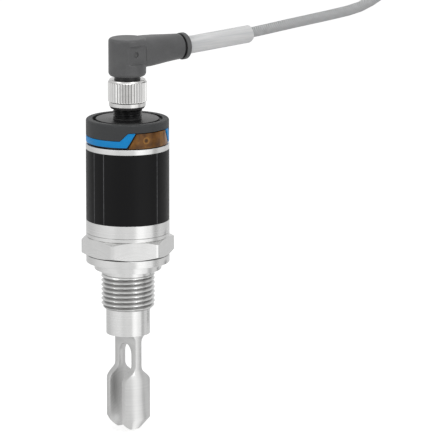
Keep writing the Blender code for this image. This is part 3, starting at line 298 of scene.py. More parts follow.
class Group:
    """A node group whose inputs are read by name, as in group["Low"]."""

    def __init__(self, name, gives=SURFACE, family="ShaderNodeTree", **takes):
        self.tree = bpy.data.node_groups.new(name, family)
        for side, sockets in (("INPUT", takes), ("OUTPUT", gives)):
            for kind, labels in sockets.items():
                for label in labels:
                    self.tree.interface.new_socket(label, in_out=side, socket_type="NodeSocket" + kind)
        self.taken = self.tree.nodes.new("NodeGroupInput").outputs
        self.given = self.tree.nodes.new("NodeGroupOutput").inputs
        print("group:", name)

    def __getitem__(self, label):
        return Value(self.tree, self.taken[label])

    def place(self):
        """Where the shaded point lies in its piece, in metres."""
        return add(self.tree, "TexCoord").outputs["Object"]

    def axes(self, place):
        """X, Y and Z of a place."""
        return [Value(self.tree, out) for out in add(self.tree, "SeparateXYZ", [(0, place)]).outputs]

    def noise(self, **inputs):
        """A noise texture's value; given W and no Vector, it runs along one line."""
        made = add(self.tree, "TexNoise", inputs.items(), noise_dimensions="1D" if "W" in inputs else "3D")
        return Value(self.tree, made.outputs["Fac"])

    def give(self, colour, rough, height, strength, distance):
        """Puts out a surface, with its normal from a bump of the given height."""
        bump = add(self.tree, "Bump", [("Strength", strength), ("Distance", distance), ("Height", height)])
        self.tree.links.new(colour, self.given["Colour"])
        self.tree.links.new(rough.socket, self.given["Roughness"])
        self.tree.links.new(bump.outputs["Normal"], self.given["Normal"])


# %% Finish group: lathe-turned metal
turned = Group("turned_metal", Color=["Base", "Stain"], Float=["Low", "High", "Lines"])
place = turned.place()
x, y, z = turned.axes(place)
rings = turned.noise(W=z + (x * x + y * y).math("SQRT"), Scale=turned["Lines"], Detail=3.0)
cloud = turned.noise(Vector=place, Scale=190.0, Detail=4.0)
fine = turned.noise(Vector=place, Scale=2600.0, Detail=2.0)
worn = rings * cloud
turned.give(worn.span(0.12, 0.42).blend(turned["Stain"], turned["Base"]),
            (worn + fine).span(0.5, 1.0, turned["Low"], turned["High"]), rings, 0.07, 0.00003)

# %% Finish group: cut thread, polished on its crests, with shade painted dark into its roots
thread = Group("thread_cut", Color=["Crest colour", "Painted root shade"], Float=["Root", "Crest", "Low", "High"])
place = thread.place()
x, y, z = thread.axes(place)
cloud = thread.noise(Vector=place, Scale=420.0, Detail=4.0)
radius = (x * x + y * y).math("SQRT")
height = radius.span(thread["Root"], thread["Crest"], interpolation_type="SMOOTHSTEP")
# The roots are painted darker as shade; the crests keep the steel's light colour.
shine = height * cloud.span(0.3, 0.6, 0.85, 1.0)
thread.give(shine.blend(thread["Painted root shade"], thread["Crest colour"]),
            shine.span(0.0, 1.0, thread["High"], thread["Low"]), cloud, 0.05, 0.00002)

# %% Finish group: moulded plastic and rubber
moulded = Group("moulded", Color=["Base", "Worn"], Float=["Low", "High", "Grain", "Depth"])
place = moulded.place()
cloud = moulded.noise(Vector=place, Scale=140.0, Detail=5.0)
grain = moulded.noise(Vector=place, Scale=moulded["Grain"], Detail=3.0, Roughness=0.65)
moulded.give((cloud + grain).span(0.75, 1.3).blend(moulded["Base"], moulded["Worn"]),
             grain.span(0.3, 0.7, moulded["Low"], moulded["High"]), grain, 0.5, moulded["Depth"])


# %% Helper: a finish from a group
def finish(name, group, values, metallic=0.0, **own):
    """A material with its colour, roughness and normal from the group, and sockets of its own."""
    look = bpy.data.materials.new(name)
    look.use_nodes = True
    tree = look.node_tree
    sockets = tree.nodes["Principled BSDF"].inputs
    sockets["Metallic"].default_value = metallic
    for label, number in own.items():
        sockets[label.replace("_", " ")].default_value = number
    settings = [(label, (*size, 1.0) if isinstance(size, tuple) else size) for label, size in values.items()]
    detail = add(tree, "Group", settings, node_tree=group.tree).outputs
    for given, taken in (("Colour", "Base Color"), ("Roughness", "Roughness"), ("Normal", "Normal")):
        tree.links.new(detail[given], sockets[taken])
    return look


def metal(name, base, stain, low, high, lines=2200.0):
    values = {"Base": base, "Stain": stain, "Low": low, "High": high, "Lines": lines}
    return finish(name, turned, values, metallic=1.0)


def plastic(name, base, worn, low, high, grain=2400.0, depth=0.00003, **own):
    values = {"Base": base, "Worn": worn, "Low": low, "High": high, "Grain": grain, "Depth": depth}
    return finish(name, moulded, values, **own)


# %% The finishes
STEEL = metal("turned_steel", (0.745, 0.745, 0.74), (0.69, 0.69, 0.685), 0.17, 0.28)
# Both thread finishes paint shade dark into the roots of their grooves.
THREAD_STEEL = finish("thread_steel", thread, {
    "Crest colour": (0.78, 0.78, 0.775), "Painted root shade": (0.36, 0.36, 0.357), "Root": 0.0093, "Crest": 0.0102,
    "Low": 0.16, "High": 0.34}, metallic=1.0)
GRIP_NICKEL = finish("grip_nickel", thread, {
    "Crest colour": (0.76, 0.755, 0.745), "Painted root shade": (0.42, 0.42, 0.415), "Root": 0.00712,
    "Crest": 0.00745, "Low": 0.16, "High": 0.3}, metallic=1.0)
FORK_STEEL = metal("fork_steel", (0.66, 0.66, 0.655), (0.6, 0.6, 0.595), 0.3, 0.4, 1500.0)
NICKEL = metal("nickel_plate", (0.76, 0.755, 0.745), (0.64, 0.635, 0.625), 0.14, 0.26, 3000.0)
GOLD = metal("contact_gold", (0.9, 0.63, 0.22), (0.75, 0.5, 0.16), 0.15, 0.3)
COPPER = metal("bare_copper", (0.85, 0.42, 0.26), (0.55, 0.25, 0.14), 0.25, 0.45, 6000.0)
CAN = metal("can_alloy", (0.55, 0.56, 0.58), (0.42, 0.43, 0.45), 0.3, 0.45)
SILVER = metal("silver_paste", (0.8, 0.79, 0.76), (0.6, 0.58, 0.54), 0.3, 0.5)
CAP_GREY = plastic("cap_plastic", (0.048, 0.05, 0.052), (0.06, 0.062, 0.064), 0.4, 0.6,
                   Specular_IOR_Level=0.3)
BLACK = plastic("black_plastic", (0.009, 0.009, 0.01), (0.016, 0.016, 0.017), 0.24, 0.4,
                Specular_IOR_Level=0.4)
BLUE = plastic("blue_plastic", (0.0, 0.29, 0.74), (0.004, 0.34, 0.82), 0.28, 0.42, Specular_IOR_Level=0.3)
ELBOW_GREY = plastic("elbow_plastic", (0.105, 0.106, 0.108), (0.15, 0.151, 0.153), 0.34, 0.52, 3200.0,
                     0.00005, Specular_IOR_Level=0.45)
RUBBER = plastic("seal_rubber", (0.012, 0.012, 0.012), (0.022, 0.022, 0.022), 0.6, 0.8, 3000.0, 0.00004)
BOARD_GREEN = plastic("board_laminate", (0.016, 0.13, 0.05), (0.03, 0.18, 0.07), 0.3, 0.5, 1200.0, 0.00003)
LAMP_WHITE = plastic("lamp_lens", (0.78, 0.78, 0.68), (0.85, 0.84, 0.7), 0.2, 0.35)
FERRITE = plastic("ferrite", (0.05, 0.05, 0.052), (0.08, 0.078, 0.076), 0.5, 0.7, 1800.0, 0.00006)
CERAMIC = plastic("piezo_ceramic", (0.7, 0.67, 0.58), (0.78, 0.75, 0.66), 0.4, 0.6, 2200.0, 0.00003)
INNER_GREY = plastic("inner_plastic", (0.14, 0.14, 0.15), (0.18, 0.18, 0.19), 0.5, 0.7)
LEAD_RED = plastic("lead_red", (0.48, 0.02, 0.02), (0.56, 0.04, 0.03), 0.35, 0.5)
CORE_LOOKS = {
    "brown": plastic("core_brown", (0.12, 0.05, 0.02), (0.16, 0.07, 0.03), 0.35, 0.5),
    "white": plastic("core_white", (0.76, 0.76, 0.74), (0.84, 0.84, 0.82), 0.35, 0.5),
    "blue": plastic("core_blue", (0.02, 0.1, 0.48), (0.04, 0.14, 0.56), 0.35, 0.5),
    "black": plastic("core_black", (0.014, 0.014, 0.014), (0.025, 0.025, 0.025), 0.35, 0.5),
}
print("finishes:", len(bpy.data.materials))


# %% Helper: finish a piece and put it on its body
def done(piece, looks, body, slot, *nodes, angle=32.0):
    """Gives the piece its finish or finishes, shading, body and the solids that it stands for."""
    looks = looks if isinstance(looks, tuple) else (looks,)
    if piece.type == "MESH":
        kept = [min(face.material_index, len(looks) - 1) for face in piece.data.polygons]
        piece.data.materials.clear()
        for look in looks:
            piece.data.materials.append(look)
        piece.data.polygons.foreach_set("material_index", kept)
        piece.data.polygons.foreach_set("use_smooth", [True] * len(piece.data.polygons))
        piece.data.set_sharp_from_angle(angle=math.radians(angle))
    else:
        piece.data.materials.append(looks[0])
    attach(piece, body)
    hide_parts(*nodes)
    print(piece.name, "stands for", ", ".join(nodes))


# %% [markdown]
# ## Cord
# A cordset of this kind comes with two metres of cord. What the picture doesn't show is folded
# into a hank and tied, as it comes out of the bag: two tracks side by side, five layers high,
# drawn together in the middle by the tie. One spline carries the whole cord, so its length can
# be measured. Each lap changes track a little earlier than the lap before, so that a turn moves
# into the room that the turn before it has just left.

# %% Cord: the run from the plug to the hank
CORD_D = 4.2
CORD_ROUTE = [
    (12.0, 0.0, 85.3), (27.0, 0.0, 85.3), (42.0, 0.0, 86.0), (58.5, 0.0, 87.1),
    (80.0, 0.0, 88.85), (100.0, 0.0, 90.4), (110.0, 0.0, 91.4), (116.0, 0.0, 92.7),
    (122.0, 0.0, 95.1), (129.0, 0.0, 98.4), (137.0, 0.0, 101.1), (146.0, 0.0, 101.9),
    (154.5, 0.0, 99.2), (161.0, 0.0, 92.8), (164.6, 0.0, 84.0), (165.8, 0.0, 73.0),
    (166.0, 0.0, 60.0), (166.0, 0.0, 40.0), (166.0, 0.0, 20.0), (166.0, 0.0, 0.0),
    (166.0, 0.0, -17.0), (168.2, -0.3, -29.5), (175.0, -1.5, -37.6), (185.0, -3.5, -40.4),
    (197.0, -5.3, -40.6),
]


def smooth_line(route, spacing):
    """Even points along a smooth curve through the route's points."""
    points = [Vector(p) for p in route]
    ends = [points[0] * 2 - points[1], *points, points[-1] * 2 - points[-2]]
    fine = []
    for a, b, c, d in zip(ends, ends[1:], ends[2:], ends[3:]):
        chord = (c - b).length
        lean_b = (c - a) / ((c - b).length + (b - a).length) * chord
        lean_c = (d - b) / ((d - c).length + (c - b).length) * chord
        for step in range(24):
            t = step / 24
            fine.append(
                b * (2 * t**3 - 3 * t**2 + 1) + lean_b * (t**3 - 2 * t**2 + t)
                + c * (3 * t**2 - 2 * t**3) + lean_c * (t**3 - t**2)
            )
    fine.append(points[-1])
    run = [0.0]
    for p, q in zip(fine, fine[1:]):
        run.append(run[-1] + (q - p).length)
    count, even, at = max(2, round(run[-1] / spacing)), [], 0
    for i in range(count + 1):
        want = run[-1] * i / count
        while at < len(fine) - 2 and run[at + 1] < want:
            at += 1
        share = (want - run[at]) / max(run[at + 1] - run[at], 1e-9)
        even.append(fine[at].lerp(fine[at + 1], min(share, 1.0)))
    return even


# %% Cord: the hank and the tail
HANK_NEAR_X, HANK_LAYERS = 166.0, 5
HALF_STRAIGHT, FOLD_R, PINCH = 20.0, 12.7, 8.0
FLOOR_Z, TIE_ROOM = -65.0, 0.9
TAIL_END_X, CORE_END_X, TAIL_Y = 254.0, 270.0, -17.0

outer_track = FOLD_R + CORD_D
hank_x = HANK_NEAR_X + HALF_STRAIGHT + outer_track + CORD_D / 2
hank_low = FLOOR_Z + TIE_ROOM
mean_fold = math.pi * (FOLD_R + outer_track) / 2
lap_length = 4 * HALF_STRAIGHT + 2 * mean_fold
straight_share = 2 * HALF_STRAIGHT / lap_length
fold_share = mean_fold / lap_length


def on_track(lap, half_width):
    """A point of the pinched racetrack, with lap counted from the near end of the -Y run."""
    share = lap % 1.0
    if share < straight_share or 0.5 <= share < 0.5 + straight_share:
        side = -1 if share < 0.5 else 1
        x = -side * (2 * HALF_STRAIGHT * (share % 0.5) / straight_share - HALF_STRAIGHT)
        drawn_in = PINCH * (1 + math.cos(math.pi * x / HALF_STRAIGHT)) / 2
        return x, side * (half_width - drawn_in)
    side = 1 if share < 0.5 else -1
    turn = math.pi * ((share % 0.5) - straight_share) / fold_share
    return side * (HALF_STRAIGHT + half_width * math.sin(turn)), -side * half_width * math.cos(turn)


def eased(t):
    t = max(0.0, min(1.0, t))
    return t * t * (3 - 2 * t)


TRACKS = []  # (half width, layer) of each lap, from the top outer one down to the bottom outer one
for layer in reversed(range(HANK_LAYERS)):
    pair = [(outer_track, layer), (FOLD_R, layer)]
    TRACKS += pair if len(TRACKS) % 4 == 0 else pair[::-1]
first_lap = straight_share * 0.93
last_lap = first_lap + len(TRACKS) - 1 + straight_share * 0.07
change = 1 - (last_lap - first_lap) / len(TRACKS)

hank_line = []
steps = round((last_lap - first_lap) * 30)
for i in range(steps + 1):
    lap = first_lap + (last_lap - first_lap) * i / steps
    k = min(int((lap - first_lap) / (1 - change)), len(TRACKS) - 1)
    here, back = TRACKS[k], TRACKS[max(k - 1, 0)]
    into = eased((lap - first_lap - k * (1 - change)) / change) if k else 1.0
    width = back[0] + (here[0] - back[0]) * into
    layer = back[1] + (here[1] - back[1]) * into
    x, y = on_track(lap, width)
    hank_line.append(Vector((hank_x + x, y, hank_low + (layer + 0.5) * CORD_D)))
print("hank:", len(TRACKS), "laps, each changes track over", round(change * lap_length, 1), "mm")

# %% Cord: one curve
tail_z = hank_low + CORD_D / 2
cord_line = smooth_line(CORD_ROUTE, 6.0) + hank_line[1:]
tail_from = hank_line[-1]
cord_line += [
    Vector((tail_from.x + (TAIL_END_X - tail_from.x) * s, tail_from.y + (TAIL_Y - tail_from.y) * eased(s),
            tail_z))
    for s in (0.3, 0.65, 1.0)
]


def tube_curve(name, points, diameter, sides=3):
    """A round tube as a curve of one open spline."""
    curve = bpy.data.curves.new(name, "CURVE")
    curve.dimensions, curve.use_fill_caps = "3D", True
    curve.bevel_depth, curve.bevel_resolution = diameter / 2 * MM, sides
    spline = curve.splines.new("POLY")
    spline.points.add(len(points) - 1)
    for point, place in zip(spline.points, points):
        point.co = (*[c * MM for c in place], 1.0)
    spline.use_smooth = True
    return linked(name, curve)


# %% [markdown]
# ## Threads and grip: relief pressed in by Geometry Nodes
# The process thread, the stub's thread and the nut's grip are the same thing to a modeller: a
# groove repeated round the axis, along it, or both. Modelling one turn and arraying it leaves
# a seam to weld. This Geometry Nodes tree takes any finely meshed turned body instead, and
# presses grooves into it by a rule with a few named sizes. It fades them out at both ends, as
# a tool that is drawn back does.

# %% Geometry Nodes: grooves by rule
relief = Group("grooves_by_rule", {"Geometry": ["Geometry"]}, "GeometryNodeTree", Geometry=["Geometry"],
               Float=["Around", "Along", "Depth", "Low", "High", "Ease", "Crest", "Floor", "Inside", "Outer"],
               Material=["Finish"])
x, y, z = relief.axes(add(relief.tree, "GeometryNodeInputPosition").outputs[0])
radius = (x * x + y * y).math("SQRT")
phase = y.math("ARCTAN2", x) / math.tau * relief["Around"] + z * relief["Along"]
groove = (phase.math("PINGPONG", 0.5) * 2.0).span(relief["Crest"], relief["Floor"])
from_low = ((z - relief["Low"]) / relief["Ease"]).span(0.0, 1.0)
from_high = ((relief["High"] - z) / relief["Ease"]).span(0.0, 1.0)
target = radius.math("MINIMUM", relief["Outer"] - groove * relief["Depth"] * (from_low * from_high))
pulled = target / radius.math("MAXIMUM", 1e-6) - 1.0
share = pulled * radius.math("GREATER_THAN", relief["Inside"])
offset = add(relief.tree, "CombineXYZ", [(0, x * share), (1, y * share)]).outputs[0]
moved = add(relief.tree, "GeometryNodeSetPosition", [("Geometry", relief["Geometry"]), ("Offset", offset)])
whole = add(relief.tree, "GeometryNodeRealizeInstances", [(0, moved.outputs[0])])
coated = add(relief.tree, "GeometryNodeSetMaterial",
             [("Geometry", whole.outputs[0]), ("Material", relief["Finish"])])
relief.tree.links.new(coated.outputs[0], relief.given[0])


def grooved(piece, look, **sizes):
    """Presses the grooves in; lengths are in millimetres, and Along is grooves a millimetre."""
    piece.data.materials.append(look)
    change = piece.modifiers.new("grooves", "NODES")
    change.node_group = relief.tree
    units = {"Around": 1.0, "Crest": 1.0, "Floor": 1.0, "Along": 1 / MM}
    for item in relief.tree.interface.items_tree:
        if item.in_out == "INPUT" and item.name in sizes:
            change[item.identifier] = float(sizes[item.name] * units.get(item.name, MM))
        elif item.name == "Finish":
            change[item.identifier] = look
    return plain(piece)


# %% [markdown]
# ## Process fitting
# This is the steel piece that screws into the tank: a hexagon for the spanner, two collars,
# and a half-inch pipe thread. The real one is turned from hexagon bar. The body is lathe work;
# the hexagon is a skin whose radius follows the six flats, cut back by the cone that the lathe
# tool leaves at its corners, which draws the typical arcs. A Boolean of prism and cone would
# give the same arcs with rougher edges.

# %% Process fitting: collars and bores
HEX_FLATS, HEX_LOW, HEX_TOP, HEX_TURN, HEX_CHAMFER, HEX_SIDES = 32.0, 6.0, 13.2, 35.0, 1.1, 240
TUBE_R, LAND_LOW, LAND_TOP, SPIGOT_R, SPIGOT_TOP = 16.3, 13.1, 14.7, 14.7, 17.4
WAIST_R, COLLAR_LOW, COLLAR_TOP, SEAL_R = 15.0, 2.9, 5.9, 13.1
UNDERCUT_R, UNDERCUT_LOW, BORE_R, COUNTERBORE_R, COUNTERBORE_LOW = 9.85, -2.2, 7.0, 12.0, 8.0
THREAD_R, THREAD_PITCH, THREAD_DEPTH, THREAD_END = 10.4775, 1.814, 1.162, -15.6
collars = lathe("collars", [
    (SPIGOT_R, SPIGOT_TOP), (SPIGOT_R, LAND_TOP), (TUBE_R, LAND_TOP), (TUBE_R, LAND_LOW + 0.25),
    (TUBE_R - 0.4, LAND_LOW), (WAIST_R, LAND_LOW), (WAIST_R, COLLAR_TOP), (TUBE_R, COLLAR_TOP),
    (TUBE_R, COLLAR_LOW), (SEAL_R, COLLAR_LOW), (SEAL_R, 0.0), (UNDERCUT_R, 0.0), (UNDERCUT_R, UNDERCUT_LOW),
    (9.0, UNDERCUT_LOW - 0.1), (BORE_R, UNDERCUT_LOW - 0.1), (BORE_R, COUNTERBORE_LOW),
    (COUNTERBORE_R, COUNTERBORE_LOW), (COUNTERBORE_R, SPIGOT_TOP),
], around=192, edge=0.3, closed=True)

# %% Process fitting: hexagon
corner = HEX_FLATS / 2 / math.cos(math.pi / 6)
chamfer_r = TUBE_R - 0.4


def hexagon_row(reach, height, fall=0.0):
    """A ring of the hexagon, no further out than reach and lower where it stands out."""
    row = []
    for i in range(HEX_SIDES):
        degrees = i * 360 / HEX_SIDES
        r = min(HEX_FLATS / 2 / math.cos(math.radians(degrees % 60 - 30)), corner - 0.12, reach)
        turn = math.radians(HEX_TURN + degrees)
        row.append((r * math.cos(turn), r * math.sin(turn), height - fall * max(0.0, r - chamfer_r)))
    return row


slope = HEX_CHAMFER / (corner - chamfer_r)
reaches = ((13.5, 0.0), (chamfer_r, 0.0), (16.2, slope), (17.0, slope), (corner, slope))
hexagon = skin("hexagon", [
    *[hexagon_row(reach, HEX_TOP, fall) for reach, fall in reaches],
    *[hexagon_row(reach, HEX_LOW, -fall) for reach, fall in reversed(reaches)],
], closed=True)

# %% Process fitting: pipe thread
blank = closely([(9.2, -1.6), (THREAD_R, -2.1), (THREAD_R, THREAD_END + 1.2),
                 (THREAD_R - 1.2, THREAD_END)], 0.13)
blank += [(8.05, THREAD_END), (8.05, -9.0), (BORE_R, -9.0), (BORE_R, -1.6)]
pipe_thread = grooved(lathe("pipe_thread", blank, around=180, closed=True), THREAD_STEEL,
                      Around=-1, Along=1 / THREAD_PITCH, Depth=THREAD_DEPTH, Low=THREAD_END - 0.2, High=-2.0,
                      Ease=0.9, Crest=0.1, Floor=0.92, Inside=8.2, Outer=THREAD_R)
done(assembled("threaded_fitting", collars, hexagon, pipe_thread, finishes=(0, 0, 1)),
     (STEEL, THREAD_STEEL), "switch", "steel", "process_fitting", angle=28)

# %% [markdown]
# ## Tuning fork
# The fork is one piece of steel: turned, then milled flat on both faces, then slotted from below
# so that two tines stand apart and can hum against each other. The model is made in the same
# order. The turned outline is cut down to the paddle's flat shape, and the slot is taken out with
# a round-ended cutter, so the curves where the cuts meet come out as they do on the machine.

# %% Tuning fork: turned, milled and slotted
NECK_R, ROOT_Z, FORK_TIP_Z = 8.6, -25.9, -64.1
SHAFT_R, SHAFT_HALF, SHAFT_END, FLARE, FLARE_LONG = 7.15, 1.4, -39.7, 0.55, 3.1
PADDLE_R, PADDLE_HALF, PADDLE_TOP, PADDLE_LOW, TIP_R = 8.7, 5.9, -43.5, -59.4, 4.6
PAST_TIP, CUTTER_HALF = -67.0, 11.0  # the cutters reach past the fork
root = ROOT_Z + 0.05
flare = [(SHAFT_R + FLARE * (1 - math.sin(math.pi / 2 * s)), ROOT_Z - FLARE_LONG * s)
         for s in (0.1, 0.25, 0.45, 0.7, 1.0)]
fork = lathe("fork_tines", [
    (0, root), (SHAFT_R + FLARE, root), *flare, (SHAFT_R, SHAFT_END), (PADDLE_R, PADDLE_TOP),
    (PADDLE_R, PADDLE_LOW), (TIP_R, FORK_TIP_Z), (0, FORK_TIP_Z)], around=128)
half = [(2.8, root), (SHAFT_HALF, -27.5), (SHAFT_HALF, SHAFT_END), (PADDLE_HALF, PADDLE_TOP),
        (PADDLE_HALF, PAST_TIP)]
bends = (0, 1.6, 2.0, 2.4, 0)
outline = []
for i, (x, z) in enumerate(half):
    if not bends[i]:
        outline.append((x, z))
        continue
    here, back, on = Vector((x, z)), Vector(half[i - 1]), Vector(half[i + 1])
    first = here + (back - here).normalized() * bends[i] * 0.8
    last = here + (on - here).normalized() * bends[i] * 0.8
    for step in range(7):
        t = step / 6
        outline.append(tuple(first * (1 - t) ** 2 + here * 2 * t * (1 - t) + last * t * t))
outline += [(-x, z) for x, z in reversed(outline)]
SLOT_HALF, SLOT_TOP = 4.05, -30.0
arch = [math.pi * i / 28 for i in range(29)]
slot = [(SLOT_HALF * math.cos(a), SLOT_TOP - SLOT_HALF + SLOT_HALF * math.sin(a)) for a in arch]
slot += [(-SLOT_HALF, PAST_TIP), (SLOT_HALF, PAST_TIP)]
carve(fork, "INTERSECT", prism(outline, -CUTTER_HALF, CUTTER_HALF, "XZ"))
carve(fork, "DIFFERENCE", prism(slot, -CUTTER_HALF, CUTTER_HALF, "YZ"))
soft_edges(fork, 0.22)
neck = lathe("neck", [(0, -24.7), (7.0, -24.7), (7.0, -9.1), (7.9, -9.1), (7.9, -15.65), (NECK_R, -15.65),
                      (NECK_R, ROOT_Z), (0, ROOT_Z)], around=160, edge=0.25)
boss = lathe("boss", [(0, -22.5), (3.0, -22.5), (3.0, -25.0), (0, -25.0)], around=48, edge=0.15)
done(assembled("slotted_fork", fork, neck, boss, finishes=(1, 0, 0)), (STEEL, FORK_STEEL), "switch",
     "steel", "tuning_fork", angle=30)

# %% [markdown]
# ## Housing tube and label
# A thin steel tube holds the electronics, and a dark foil label is laid round a shallow recess in
# it, so that its edge can't be caught. The label is its own thin ring, a little inside the tube's
# surface. The foil's thin light rules are printed, not cut, so they are drawn in its finish, by
# the angle round the tube.

# %% Housing tube
LABEL_LOW, LABEL_HIGH, LABEL_R, RECESS_R = 19.8, 47.85, 16.25, 15.9
TUBE_LOW, TUBE_TOP, TUBE_BORE_R = 14.75, 50.0, 14.85
tube = lathe("steel_housing", [
    (TUBE_R, TUBE_TOP), (TUBE_R, LABEL_HIGH), (RECESS_R, LABEL_HIGH), (RECESS_R, LABEL_LOW),
    (TUBE_R, LABEL_LOW), (TUBE_R, TUBE_LOW), (TUBE_BORE_R, TUBE_LOW), (TUBE_BORE_R, TUBE_TOP),
], around=192, edge=0.22, closed=True)
done(tube, STEEL, "switch", "steel", "housing_tube")

# %% Label: print in the finish
foil = Group("label_print", Color=["Ground", "Ink"], Float=["Width"])
place = foil.place()
x, y, z = foil.axes(place)
turn = y.math("ARCTAN2", x)
rules = turn.near(math.radians(-178.0), foil["Width"])
for degrees in (-160.0, -80.4):
    rules = rules.math("MAXIMUM", turn.near(math.radians(degrees), foil["Width"]))
cloud = foil.noise(Vector=place, Scale=700.0, Detail=4.0)
dust = foil.noise(Vector=place, Scale=9000.0, Detail=1.0)
ink = rules * cloud.span(0.3, 0.6, 0.55, 1.0)
foil.give(ink.blend(foil["Ground"], foil["Ink"]),
          (cloud + dust).span(0.7, 1.3, 0.3, 0.46), dust, 0.2, 0.00001)
LABEL = finish("label_foil", foil, {
    "Ground": (0.006, 0.006, 0.0065), "Ink": (0.12, 0.12, 0.125), "Width": 0.012}, Specular_IOR_Level=0.14)

# %% Label
low, high, back_r = LABEL_LOW + 0.05, LABEL_HIGH - 0.05, RECESS_R + 0.05
label = lathe("foil_label", [(LABEL_R, high), (LABEL_R, low), (back_r, low), (back_r, high)],
              around=192, edge=0.08, closed=True)
done(label, LABEL, "switch", "label", "wrap_label")

# %% [markdown]
# ## Light ring, stripes and cap
# A ring of amber plastic lets four lamps shine out through two windows. Two blue stripes run
# between the windows and climb beside them, and the dark cap steps down to meet them. All these
# are tiles of one ring, so they share a helper that lofts a tile from heights at given angles.
# Cutting the windows out of a full ring would be quicker, but would leave no gaps between the pieces, and the
# fine dark gaps are what the eye reads as separate parts; the amber in them is painted black as shade.

# %% Helper: a tile of a ring
def tile(name, knots, inner, outer, fine=1.5):
    """A tile between two radii; knots are (angle, low, high)."""
    rows = []
    for a, b in zip(knots, knots[1:]):
        count = max(1, math.ceil((b[0] - a[0]) / fine))
        for i in range(count + (b is knots[-1])):
            angle, low, high = (p + (q - p) * i / count for p, q in zip(a, b))
            c, s = math.cos(math.radians(angle)), math.sin(math.radians(angle))
            rows.append([(inner * c, inner * s, low), (outer * c, outer * s, low),
                         (outer * c, outer * s, high), (inner * c, inner * s, high)])
    return skin(name, rows)


def both_ways(centre, side):
    """A tile's knots from those of its left side, as (degrees from the centre, low, high)."""
    knots = [(centre - a, low, high) for a, low, high in side]
    return knots + [(centre + a, low, high) for a, low, high in reversed(side)]


# %% Light ring: what shows through the amber, and painted shade at its edges
WINDOW_AT = (-86.0, 94.0)
LAMP_AT, BARS_AT, LAMP_Z, SEEN_R = -98.0, -70.0, 53.4, 16.1
amber = Group("window_depths", Color=["Amber", "Deep", "Glow", "Lamp black and painted shade"], Float=["Edge"])
place = amber.place()
x, y, z = amber.axes(place)
half_turn = y.math("ARCTAN2", x).math("WRAP", math.pi, 0.0)  # both windows show the same
across = (half_turn - (math.radians(LAMP_AT) + math.pi)) * (SEEN_R * MM)
up = z - LAMP_Z * MM
out = (across * across + up * up).math("SQRT")
from_bars = half_turn - (math.radians(BARS_AT) + math.pi)
bars = from_bars.near(0.0, 0.07) * from_bars.math("PINGPONG", 0.022).math("LESS_THAN", 0.009)
cloud = amber.noise(Vector=place, Scale=260.0, Detail=3.0)
tone = cloud.span(0.35, 0.65).blend(amber["Amber"], amber["Deep"])
tone = (out.near(0.00115, 0.00024).math("MAXIMUM", bars) * 0.6).blend(tone, amber["Glow"])
tone = (out.math("LESS_THAN", 0.0006) * 0.6).blend(tone, amber["Lamp black and painted shade"])
# Amber inside the stripes' bore, in the gaps and at the windows' edges, is painted black as shade.
painted_gap_shade = (x * x + y * y).math("SQRT").math("LESS_THAN", amber["Edge"])
amber.give(painted_gap_shade.blend(tone, amber["Lamp black and painted shade"]), cloud.span(0.3, 0.7, 0.1, 0.2), cloud, 0.1, 0.00002)
AMBER = finish("amber_window", amber, {
    "Amber": (0.3, 0.125, 0.02), "Deep": (0.11, 0.042, 0.008), "Glow": (0.5, 0.24, 0.05),
    "Lamp black and painted shade": (0.008, 0.007, 0.006), "Edge": 0.0152}, Specular_IOR_Level=0.25)

# %% Light ring
RING_TOP, WINDOW_LOW, WINDOW_TOP, WINDOW_TOP_HALF, WINDOW_FOOT_HALF = 56.4, 50.3, 56.2, 26.2, 37.6
ring = lathe("light_ring", [
    (15.05, RING_TOP), (15.05, 50.05), (14.7, 50.05), (14.7, 46.3), (14.1, 46.3), (14.1, 45.4), (14.7, 45.4),
    (14.7, 43.5), (12.4, 43.5), (12.4, 50.15), (13.2, 50.15), (13.2, RING_TOP),
], around=160, edge=0.1, closed=True)
pads = []
for centre in WINDOW_AT:
    side = [(WINDOW_FOOT_HALF, WINDOW_LOW, WINDOW_LOW + 0.2), (WINDOW_TOP_HALF, WINDOW_LOW, WINDOW_TOP)]
    pads.append(soft_edges(tile("window_pad", both_ways(centre, side), 13.5, SEEN_R), 0.1))
done(assembled("amber_ring", ring, *pads), AMBER, "switch", "amber_plastic", "signal_window")

# %% Blue stripes
CAP_R, CAP_BORE_R, CAP_LOW, CAP_TOP, CAP_EDGE = 16.2, 15.2, 53.5, 59.7, 0.8
for number, centre in enumerate((WINDOW_AT[0] + 90.0, WINDOW_AT[1] + 90.0), 1):
    side = [(61.8, 56.2, 56.4), (52.3, 51.83, 56.4), (49.8, 50.8, 55.86), (40.3, 50.8, 53.3)]
    stripe = soft_edges(tile("stripe_tile_%d" % number, both_ways(centre, side), CAP_BORE_R, CAP_R), 0.1)
    done(stripe, BLUE, "switch", "blue_plastic", "blue_stripe_%d" % number)

# %% Cap
SEAT_TOP, SEAT_R = 58.9, 13.65
cap = lathe("stepped_cap", [
    (SEAT_R, SEAT_TOP), (SEAT_R, CAP_TOP - 0.12), (SEAT_R + 0.12, CAP_TOP),
    *quarter(CAP_R, CAP_TOP, CAP_EDGE, 10), (CAP_R, CAP_LOW), (CAP_BORE_R, CAP_LOW), (CAP_BORE_R, 58.1),
    (12.5, 58.1), (12.5, SEAT_TOP),
], around=160, closed=True)
for centre in WINDOW_AT:
    side = [(49.7, CAP_LOW - 2.0, CAP_LOW), (37.7, CAP_LOW - 2.0, 56.6)]
    carve(cap, "DIFFERENCE", tile("notch", both_ways(centre, side), CAP_BORE_R - 0.2, CAP_R + 2.0))
for low, high in ((235.5, 300.0), (96.0, 148.0)):
    ends = [(low, 56.1, SEAT_TOP + 0.05), (high, 56.1, SEAT_TOP + 0.05)]
    carve(cap, "DIFFERENCE", tile("slot", ends, 10.5, SEAT_R - 0.05))
done(cap, CAP_GREY, "switch", "cap_plastic", "cap")

# %% [markdown]
# ## Connector and plug
# The black connector body stands in the cap and ends in a threaded stub with four gold pins. The
# plug's nut grips that thread. Its grip is forty fine ribs over a plain collar, pressed in with
# the same grooves-by-rule tree as the threads.

